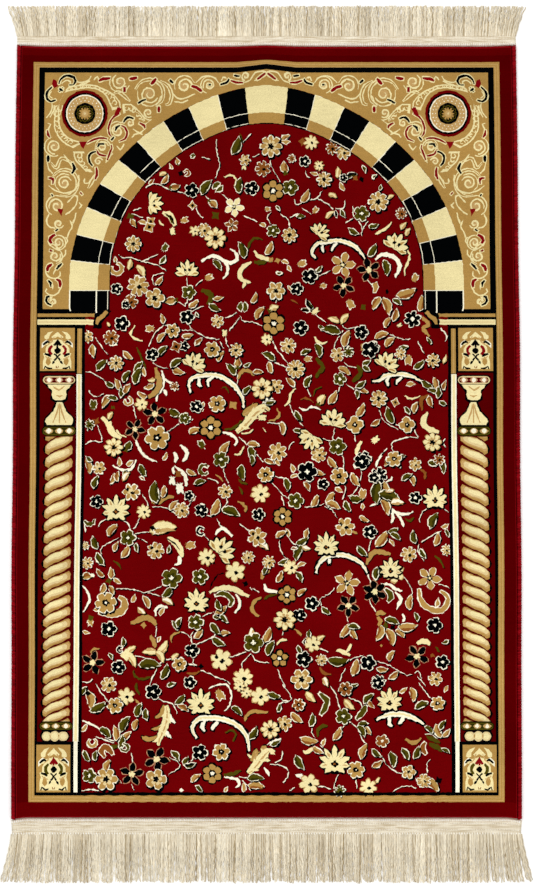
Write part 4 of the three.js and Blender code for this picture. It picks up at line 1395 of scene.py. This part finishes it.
def tape_finish(light, dark):
    """Plain weave of cream cotton: fine threads both ways, with slightly uneven picks and painted shade
    between the threads.
    """
    finish = Finish("woven_tape", 0.95, 0.03)
    wires = {"Vector": finish.place, "Scale": 118.0, "Distortion": 0.25, "Detail": 1.0}
    across = finish.add("TexWave", wires, bands_direction="Y").outputs["Fac"]
    wires = dict(wires, Scale=150.0)
    along = finish.add("TexWave", wires, bands_direction="X").outputs["Fac"]
    # The weave's bands set the colour as well as the bumps: the gaps between the threads get painted shade,
    # and the uneven picks vary the cotton's tone at random.
    weave = finish.times(across, along)
    uneven = finish.spread(finish.noise(460, 2.0, (0.1, 1, 1)), 0.0, 1.0)
    share = finish.add("Math", {0: weave, 1: uneven}, operation="ADD").outputs[0]
    base = finish.mixed(finish.spread(share, 0.0, 1.0, 0.1, 1.3), (*dark, 1), (*light, 1))
    finish.relief([(weave, 0.0004), (finish.noise(1300, 2.0), 0.00015)])
    return finish.colour(base)


# Geometry Nodes: what repeats along the mat's edges


class Field:
    """A number that changes from point to point; arithmetic on it adds maths nodes."""

    def __init__(self, tree, socket):
        self.tree, self.socket = tree, socket

    def maths(self, operation, *others):
        node = self.tree.add("ShaderNodeMath", dict(enumerate((self, *others))), operation=operation)
        return Field(self.tree, node.outputs[0])

    def __add__(self, other):
        return self.maths("ADD", other)

    def __sub__(self, other):
        return self.maths("SUBTRACT", other)

    def __mul__(self, other):
        return self.maths("MULTIPLY", other)

    def __truediv__(self, other):
        return self.maths("DIVIDE", other)


class Tree(Nodes):
    """A Geometry Nodes tree with named sizes, put together step by step."""

    prefix = "GeometryNode"

    def __init__(self, name, sizes):
        self.group = bpy.data.node_groups.new(name, "GeometryNodeTree")
        self.nodes, self.links = self.group.nodes, self.group.links
        face = self.group.interface
        face.new_socket("Geometry", in_out="OUTPUT", socket_type="NodeSocketGeometry")
        face.new_socket("Geometry", in_out="INPUT", socket_type="NodeSocketGeometry")
        self.identifiers = {}
        for label, value in sizes.items():
            kind = "NodeSocketInt" if isinstance(value, int) else "NodeSocketFloat"
            self.identifiers[label] = face.new_socket(label, in_out="INPUT", socket_type=kind).identifier
        self.sizes = sizes
        self.entry = self.group.nodes.new("NodeGroupInput")
        self.exit = self.group.nodes.new("NodeGroupOutput")

    def size(self, label):
        return Field(self, self.entry.outputs[label])

    def random(self, low, high, number, seed):
        wires = {"Min": low, "Max": high, "ID": number, "Seed": seed}
        return Field(self, self.shown(self.add("FunctionNodeRandomValue", wires).outputs, "Value"))

    def index(self):
        return Field(self, self.add("InputIndex").outputs[0])

    def named(self, label):
        node = self.add("InputNamedAttribute", {"Name": label})
        return Field(self, self.shown(node.outputs, "Attribute"))

    def vector(self, x=0.0, y=0.0, z=0.0):
        return self.add("ShaderNodeCombineXYZ", {0: x, 1: y, 2: z}).outputs[0]

    def circle(self, sides, radius):
        wires = {"Resolution": sides, "Radius": radius}
        return self.add("CurvePrimitiveCircle", wires, mode="RADIUS").outputs[0]

    def store(self, geometry, label, value):
        wires = {"Geometry": geometry, "Name": label, "Value": value}
        return self.add("StoreNamedAttribute", wires).outputs[0]

    def joined(self, *parts):
        node = self.add("JoinGeometry")
        for part in parts:
            self.links.new(part, node.inputs[0])
        return node.outputs[0]

    def applied(self, name, base, material):
        """Ends the tree, runs it on the base mesh and returns the finished plain piece."""
        solid = self.add("RealizeInstances", {"Geometry": self.last}).outputs[0]
        rounded = self.add("SetShadeSmooth", {"Geometry": solid}).outputs[0]
        finished = self.add("SetMaterial", {"Geometry": rounded, "Material": material}).outputs[0]
        self.links.new(finished, self.exit.inputs[0])
        maker = linked(name + "_maker", base)
        modifier = maker.modifiers.new("maker", "NODES")
        modifier.node_group = self.group
        for label, value in self.sizes.items():
            modifier[self.identifiers[label]] = value
        bpy.context.view_layer.update()
        result = maker.evaluated_get(bpy.context.evaluated_depsgraph_get())
        mesh = bpy.data.meshes.new_from_object(result)
        maker.modifiers.clear()
        bpy.data.objects.remove(maker)
        if not mesh.polygons:
            raise RuntimeError(f"{name}: its nodes made no mesh")
        mesh.name = name
        mesh.materials.clear()
        mesh.materials.append(material)
        return linked(name, mesh)


def path_mesh(points, joined=True):
    mesh = bpy.data.meshes.new("path")
    edges = [(i, i + 1) for i in range(len(points) - 1)] if joined else []
    mesh.from_pydata([tuple(c * MM for c in p) for p in points], edges, [])
    return mesh


def overcast_side(name, side, wraps, material):
    """Yarn wound round the cloth's long edge, over a padding cord."""
    sizes = {"Wraps": wraps, "Half width": (CORD_WIDTH / 2 - 0.9) * MM,
             "Half height": (CORD_HEIGHT / 2 - 0.8) * MM, "Yarn radius": 1.12 * MM, "Slant": side * 0.3,
             "Seed": 5}
    tree = Tree("overcasting", sizes)
    path = tree.add("MeshToCurve", {"Mesh": tree.entry.outputs["Geometry"]}).outputs[0]
    wires = {"Curve": path, "Count": tree.size("Wraps")}
    spots = tree.add("CurveToPoints", wires, mode="COUNT").outputs["Points"]
    points = tree.store(spots, "shade", tree.random(0.0, 1.0, tree.index(), tree.size("Seed")))
    scale = tree.vector(tree.size("Half width"), tree.size("Half height"), 1.0)
    upright = {"Geometry": tree.circle(14, 1.0), "Rotation": (math.pi / 2, 0, 0), "Scale": scale}
    loop = tree.add("Transform", upright).outputs[0]
    yarn = tree.circle(6, tree.size("Yarn radius"))
    wrap = tree.add("CurveToMesh", {"Curve": loop, "Profile Curve": yarn}).outputs[0]
    turn = tree.vector(z=tree.size("Slant") * tree.random(0.8, 1.2, tree.index(), 9))
    size = tree.random(0.95, 1.05, tree.index(), 21)
    wires = {"Points": points, "Instance": wrap, "Rotation": turn, "Scale": size}
    wound = tree.add("InstanceOnPoints", wires).outputs[0]
    wires = {"Curve": path, "Profile Curve": tree.circle(12, 2.6 * MM), "Fill Caps": True}
    core = tree.add("CurveToMesh", wires).outputs[0]
    tree.last = tree.joined(wound, tree.store(core, "shade", 0.0))
    along = np.linspace(0.0012, 0.9988, 80)
    middle = side * (half_width(along) - CORD_WIDTH / 2)
    low, high = foot_edge(middle), head_edge(middle)
    y = low + (high - low) * along + FOOT_LINE
    base = path_mesh(np.column_stack([middle, y, np.full(len(y), CORD_HEIGHT / 2 + 0.1)]).tolist())
    return tree.applied(name, base, material)


class End:
    """Where one end's tape and strands lie, in millimetres."""

    def __init__(self, name, side, tape, taper, strand, flare, ragged, seed):
        self.name, self.side, self.tape, self.taper = name, side, tape, taper
        self.strand, self.flare, self.ragged, self.seed = strand, flare, ragged, seed
        self.half = (HEAD_HALF_WIDTH if side > 0 else FOOT_HALF_WIDTH) - PIECE_GAP
        self.pile_end = PILE_LENGTH if side > 0 else 0.0
        self.outer = self.pile_end + side * (PIECE_GAP + tape)

    def tape_point(self, x, share):
        """A point of the tape from its pile side, share 0, to its strand side, share 1."""
        edge = head_edge(x) if self.side > 0 else foot_edge(x)
        inner = edge + self.side * PIECE_GAP
        return x * (1 - self.taper / self.half * share), inner + (self.outer - inner) * share + FOOT_LINE


ENDS = (
    End("head", 1, 15.2, 0.4, 41.8, 12.5, 0.05, 11),
    End("foot", -1, 23.6, 1.6, 68.0, 14.5, 0.06, 29),
)


def tape_piece(end, thickness, material):
    """A closed strip of woven cotton, a little thicker along its ribs."""
    across = np.linspace(-end.half, end.half, 232)
    shares = np.linspace(0, 1, 8 if end.tape < 20 else 11)
    ribs = thickness * (0.9 + 0.1 * np.cos(shares * len(shares) * 2.1))
    ribs *= np.interp(shares, [0, 0.08, 0.94, 1], [0.75, 1, 1, 0.6])
    random.seed(end.seed)
    points, faces = [], []
    count = len(shares)
    for x in across:
        for share, rib in zip(shares, ribs):
            px, py = end.tape_point(x, share)
            points.append((px * MM, py * MM, (rib + random.uniform(-0.05, 0.05)) * MM))
    top = len(points)
    points += [(x, y, 0.0) for x, y, _ in points]
    for i in range(len(across) - 1):
        for j in range(count - 1):
            a, b = i * count + j, (i + 1) * count + j
            faces += [[a, b, b + 1, a + 1], [top + a, top + a + 1, top + b + 1, top + b]]
        for j in (0, count - 1):
            a, b = i * count + j, (i + 1) * count + j
            faces.append([a, top + a, top + b, b] if j == 0 else [a, b, top + b, top + a])
    for i in (0, len(across) - 1):
        for j in range(count - 1):
            a = i * count + j
            faces.append([a, a + 1, top + a + 1, top + a] if i == 0 else [a, top + a, top + a + 1, a + 1])
    if end.side < 0:
        faces = [face[::-1] for face in faces]
    mesh = bpy.data.meshes.new(end.name + "_tape")
    mesh.from_pydata(points, [], faces)
    mesh.validate()
    mesh.polygons.foreach_set("use_smooth", [True] * len(mesh.polygons))
    mesh.materials.append(material)
    return linked(end.name + "_tape", mesh)


def stitch_rows(end, rows, thickness, material):
    """Rows of plump stitches across the tape: pairs of place, pitch, length and width."""
    points, sizes = [], []
    for share, pitch, length, width, slant in rows:
        count = int(2 * end.half / pitch)
        for k in range(count):
            x = -end.half + pitch * (k + 0.5)
            px, py = end.tape_point(x, share)
            points.append((px, py, thickness * 0.9))
            sizes.append((width, length, slant))
    tree = Tree("tape_stitches", {"Plumpness": 0.8 * MM, "Seed": end.seed})
    shade = tree.random(0.45, 1.0, tree.index(), tree.size("Seed"))
    spots = tree.store(tree.entry.outputs["Geometry"], "shade", shade)
    bead = tree.add("MeshUVSphere", {"Segments": 8, "Rings": 5, "Radius": 1.0}).outputs[0]
    wide = tree.named("wide") * tree.random(0.85, 1.1, tree.index(), 3)
    shape = tree.vector(wide, tree.named("long"), tree.size("Plumpness"))
    turn = tree.vector(z=tree.named("slant") + tree.random(-0.12, 0.12, tree.index(), 4))
    wires = {"Points": spots, "Instance": bead, "Rotation": turn, "Scale": shape}
    tree.last = tree.add("InstanceOnPoints", wires).outputs[0]
    base = path_mesh(points, joined=False)
    for label, column in (("wide", 0), ("long", 1), ("slant", 2)):
        values = base.attributes.new(label, "FLOAT", "POINT")
        scale = MM / 2 if column < 2 else 1.0
        values.data.foreach_set("value", [size[column] * scale for size in sizes])
    return tree.applied(end.name + "_stitches", base, material)


def strand_piece(end, strands, thickness, material):
    """The fringe: thin strands that gather in clumps, sway a little and flare at the corners."""
    sizes = {"Half width": end.half * MM, "Root line": (end.outer + FOOT_LINE - end.side * 1.0) * MM,
             "Length": end.side * (end.strand + 1.0) * MM, "Flare": end.flare * MM,
             "Ragged": end.ragged * 1.6, "Clump size": 8.0, "Thickness": thickness * MM,
             "Sway": end.strand * 0.026 * MM, "Waves": end.strand * 0.42, "Seed": end.seed}
    tree = Tree("fringe_strands", sizes)
    seed = tree.size("Seed")
    roots = tree.store(tree.entry.outputs["Geometry"], "strand", tree.index())
    line = tree.add("CurvePrimitiveLine", {"Start": (0, 0, 0), "End": (0, 1, 0)}).outputs[0]
    line = tree.add("ResampleCurve", {"Curve": line, "Count": 14}).outputs[0]
    lines = tree.add("InstanceOnPoints", {"Points": roots, "Instance": line}).outputs[0]
    lines = tree.add("RealizeInstances", {"Geometry": lines}).outputs[0]

    share = Field(tree, tree.add("SplineParameter").outputs["Factor"])
    strand = tree.named("strand")
    root = tree.add("ShaderNodeSeparateXYZ", {0: tree.add("InputPosition").outputs[0]})
    root_x = Field(tree, root.outputs[0])
    half = tree.size("Half width")
    clump = ((strand + tree.random(-4.0, 4.0, strand, 31)) / tree.size("Clump size")).maths("FLOOR")
    pitch = half * 2.0 / float(strands)
    middle = (clump + 0.5) * tree.size("Clump size") * pitch - half
    eased = share.maths("POWER", 1.3)
    pull = (middle - root_x) * tree.random(0.0, 0.22, clump, 7) * eased
    clump_sway = tree.random(-1.0, 1.0, clump, seed) * tree.size("Sway") * share.maths("POWER", 1.4)
    own_sway = tree.random(-1.0, 1.0, strand, 13) * tree.size("Sway") * share * 1.1
    phase = share * tree.size("Waves") + tree.random(0.0, 6.3, strand, 17)
    ripple = phase.maths("SINE") * share.maths("POWER", 0.5) * (0.85 * MM)
    inside = half - root_x.maths("ABSOLUTE")
    fading = (inside * (-1000.0 / 30.0)).maths("EXPONENT")
    flare = root_x.maths("SIGN") * tree.size("Flare") * fading * share.maths("POWER", 1.25)
    x = root_x + pull + clump_sway + own_sway + ripple + flare

    trim = tree.random(0.0, 1.0, strand, 23) * 0.6 + tree.random(0.0, 1.0, clump, 29) * 0.4
    reach = tree.size("Length") * share * (trim * tree.size("Ragged") * -1.0 + 1.0)
    y = tree.size("Root line") + reach
    layer = tree.random(0.0, 1.6 * MM, strand, 37)
    arch = (share * 3.1416).maths("SINE") * 0.5 + 0.5
    z = tree.size("Thickness") * 0.5 + layer * arch * (share.maths("POWER", 3.0) * -1.0 + 1.0)
    lines = tree.add("SetPosition", {"Geometry": lines, "Position": tree.vector(x, y, z)}).outputs[0]
    own_shade = tree.random(0.0, 0.85, strand, 41).maths("POWER", 0.45)
    lines = tree.store(lines, "shade", own_shade + tree.random(0.0, 0.12, clump, 43) - 0.06)
    girth = tree.size("Thickness") * 0.5 * (share.maths("POWER", 2.0) * -0.35 + 1.0)
    girth = girth * tree.random(0.85, 1.15, strand, 47)
    wires = {"Curve": lines, "Profile Curve": tree.circle(4, 1.0), "Scale": girth, "Fill Caps": True}
    tree.last = tree.add("CurveToMesh", wires).outputs[0]

    spots = []
    for k in range(strands):
        x0 = -end.half + 2 * end.half * (k + 0.5) / strands
        spots.append((x0, end.outer + FOOT_LINE, 1.0))
    return tree.applied(end.name + "_strands", path_mesh(spots, joined=False), material)


# The add-on: settings, one operator for each group of pieces, one for the stage, and the panel


class PrayerMatSettings(bpy.types.PropertyGroup):
    """Sizes and colours that a user would change."""

    pile_height: FloatProperty(name="Pile height", description="Thickness of the pile cloth", default=0.008,
                               min=0.004, max=0.02, unit="LENGTH")
    tape_thickness: FloatProperty(name="Tape thickness", description="Thickness of the woven end tapes",
                                  default=0.002, min=0.0008, max=0.004, unit="LENGTH")
    strand_thickness: FloatProperty(name="Strand thickness", description="Diameter of one fringe strand",
                                    default=0.0018, min=0.0006, max=0.003, unit="LENGTH")
    strands: IntProperty(name="Strands", description="Fringe strands at each end", default=840, min=100,
                         max=1200)
    side_wraps: IntProperty(name="Side wraps", description="Turns of yarn round each long edge", default=470,
                            min=100, max=700)
    cotton_light: FloatVectorProperty(name="Cotton light", description="Lighter shade of the tape and fringe",
                                      subtype="COLOR", size=3, min=0, max=1, default=dyed("fdf4de"))
    cotton_dark: FloatVectorProperty(name="Cotton dark", description="Darker shade of the tape and fringe",
                                     subtype="COLOR", size=3, min=0, max=1, default=dyed("a68f64"))
    side_light: FloatVectorProperty(name="Side light", description="Lighter shade of the overcast yarn",
                                    subtype="COLOR", size=3, min=0, max=1, default=dyed("9e0d18"))
    side_dark: FloatVectorProperty(name="Side dark", description="Darker shade of the overcast yarn",
                                   subtype="COLOR", size=3, min=0, max=1, default=dyed("72050b"))


# The tapes' rows of stitches: share across the tape, pitch, length, width and slant
STITCH_ROWS = {
    "head": marks("0.16,2.8,4.4,2.6,0.25"),
    "foot": marks("0.14,2.9,4.6,2.7,0.25 0.34,3.2,1.5,2.4,0 0.71,3.2,1.5,2.4,0 0.93,3.6,3.4,2.2,0.3"),
}


def settled(piece, slot, *nodes):
    """Puts a finished piece on the mat's body and in place of its solids."""
    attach(piece, "root")
    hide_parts(*nodes)
    return piece


class MAT_OT_weave_pile(bpy.types.Operator):
    """Weave the pile cloth with its whole design"""

    bl_idname = "mat.weave_pile"
    bl_label = "Weave the pile"

    def execute(self, context):
        sizes = context.scene.prayer_mat
        piece = pile_object(drawn_chart(), sizes.pile_height / MM)
        piece.data.materials.append(pile_finish())
        settled(piece, "pile", "mat_body")
        return {"FINISHED"}


class MAT_OT_overcast_sides(bpy.types.Operator):
    """Wind crimson yarn round both long edges"""

    bl_idname = "mat.overcast_sides"
    bl_label = "Overcast the sides"

    def execute(self, context):
        sizes = context.scene.prayer_mat
        finish = yarn_finish("overcast_yarn", sizes.side_light, sizes.side_dark, 900.0)
        for side, word in ((-1, "left"), (1, "right")):
            piece = overcast_side("overcast_yarn_" + word, side, sizes.side_wraps, finish)
            settled(piece, "overcast_yarn", "side_cord_" + word)
        return {"FINISHED"}


class MAT_OT_weave_tapes(bpy.types.Operator):
    """Weave the cotton tape at each end, with its rows of stitches"""

    bl_idname = "mat.weave_tapes"
    bl_label = "Weave the tapes"

    def execute(self, context):
        sizes = context.scene.prayer_mat
        thickness = sizes.tape_thickness / MM
        weave = tape_finish(sizes.cotton_light, dyed("c4b08c"))
        thread = yarn_finish("stitch_cotton", dyed("fffbf0"), dyed("f0e6cf"), 1200.0)
        for end in ENDS:
            tape = tape_piece(end, thickness, weave)
            stitches = stitch_rows(end, STITCH_ROWS[end.name], thickness, thread)
            for piece in (tape, stitches):
                settled(piece, "fringe_yarn", end.name + "_fringe")
        return {"FINISHED"}


class MAT_OT_lay_fringe(bpy.types.Operator):
    """Lay the loose strands of the fringe at each end"""

    bl_idname = "mat.lay_fringe"
    bl_label = "Lay the fringe"

    def execute(self, context):
        sizes = context.scene.prayer_mat
        finish = yarn_finish("fringe_cotton", sizes.cotton_light, sizes.cotton_dark, 700.0, (1, 0.2, 1))
        for end in ENDS:
            piece = strand_piece(end, sizes.strands, sizes.strand_thickness / MM, finish)
            settled(piece, "fringe_yarn", end.name + "_fringe")
        return {"FINISHED"}


class MAT_OT_set_stage(bpy.types.Operator):
    """Lay the floor, hang the soft lights and aim the camera straight down"""

    bl_idname = "mat.set_stage"
    bl_label = "Set the stage"

    def execute(self, context):
        scene = context.scene
        mesh = bpy.data.meshes.new("studio_floor")
        reach = 9.0
        corners = [(u, v, 0) for u, v in box_outline(-reach, -reach, reach, reach)]
        mesh.from_pydata(corners, [], [(0, 1, 2, 3)])
        floor = linked("studio_floor", mesh)
        floor.location.z = -0.0004
        finish = Finish("pale_floor", 0.9, 0.05)
        finish.shader.inputs["Base Color"].default_value = (0.93, 0.93, 0.925, 1)
        finish.shader.inputs["Emission Color"].default_value = (1, 1, 1, 1)
        finish.shader.inputs["Emission Strength"].default_value = 0.16
        mesh.materials.append(finish.material)

        lights = (("overhead_light", (-0.5, 0.9, 3.2), 3.4, 62), ("side_light", (2.4, -2.0, 2.4), 2.4, 16))
        for name, place, size, power in lights:
            lamp = bpy.data.lights.new(name, "AREA")
            lamp.size = size
            lamp.energy = power
            light = linked(name, lamp)
            light.location = place
            light.rotation_euler = (-Vector(place)).to_track_quat("-Z", "Y").to_euler()

        world = bpy.data.worlds.new("studio_air")
        world.use_nodes = True
        air = world.node_tree.nodes["Background"].inputs
        air["Color"].default_value = (1, 1, 1, 1)
        air["Strength"].default_value = 0.62
        scene.world = world
        scene.view_settings.view_transform = "Standard"

        lens = bpy.data.cameras.new("overhead_camera")
        lens.lens = 234.2
        lens.sensor_width = 36
        lens.clip_end = 60
        camera = linked("overhead_camera", lens)
        camera.location = (0, (FOOT_LINE + 515.7) * MM, 8.0)
        scene.camera = camera
        return {"FINISHED"}


class MAT_PT_maker(bpy.types.Panel):
    """Lists the mat's sizes and its making steps"""

    bl_idname = "MAT_PT_maker"
    bl_label = "Prayer mat"
    bl_space_type = "VIEW_3D"
    bl_region_type = "UI"
    bl_category = "Prayer mat"

    def draw(self, context):
        sizes = context.scene.prayer_mat
        for name in PrayerMatSettings.__annotations__:
            self.layout.prop(sizes, name)
        for step in STEPS:
            self.layout.operator(step.bl_idname)


STEPS = (MAT_OT_set_stage, MAT_OT_weave_pile, MAT_OT_overcast_sides, MAT_OT_weave_tapes, MAT_OT_lay_fringe)
CLASSES = (PrayerMatSettings, *STEPS, MAT_PT_maker)


def register():
    for kind in CLASSES:
        bpy.utils.register_class(kind)
    bpy.types.Scene.prayer_mat = PointerProperty(type=PrayerMatSettings)


def unregister():
    del bpy.types.Scene.prayer_mat
    for kind in reversed(CLASSES):
        bpy.utils.unregister_class(kind)


def main():
    register()
    for step in STEPS:
        area, name = step.bl_idname.split(".")
        getattr(getattr(bpy.ops, area), name)()


if __name__ == "__main__":
    main()
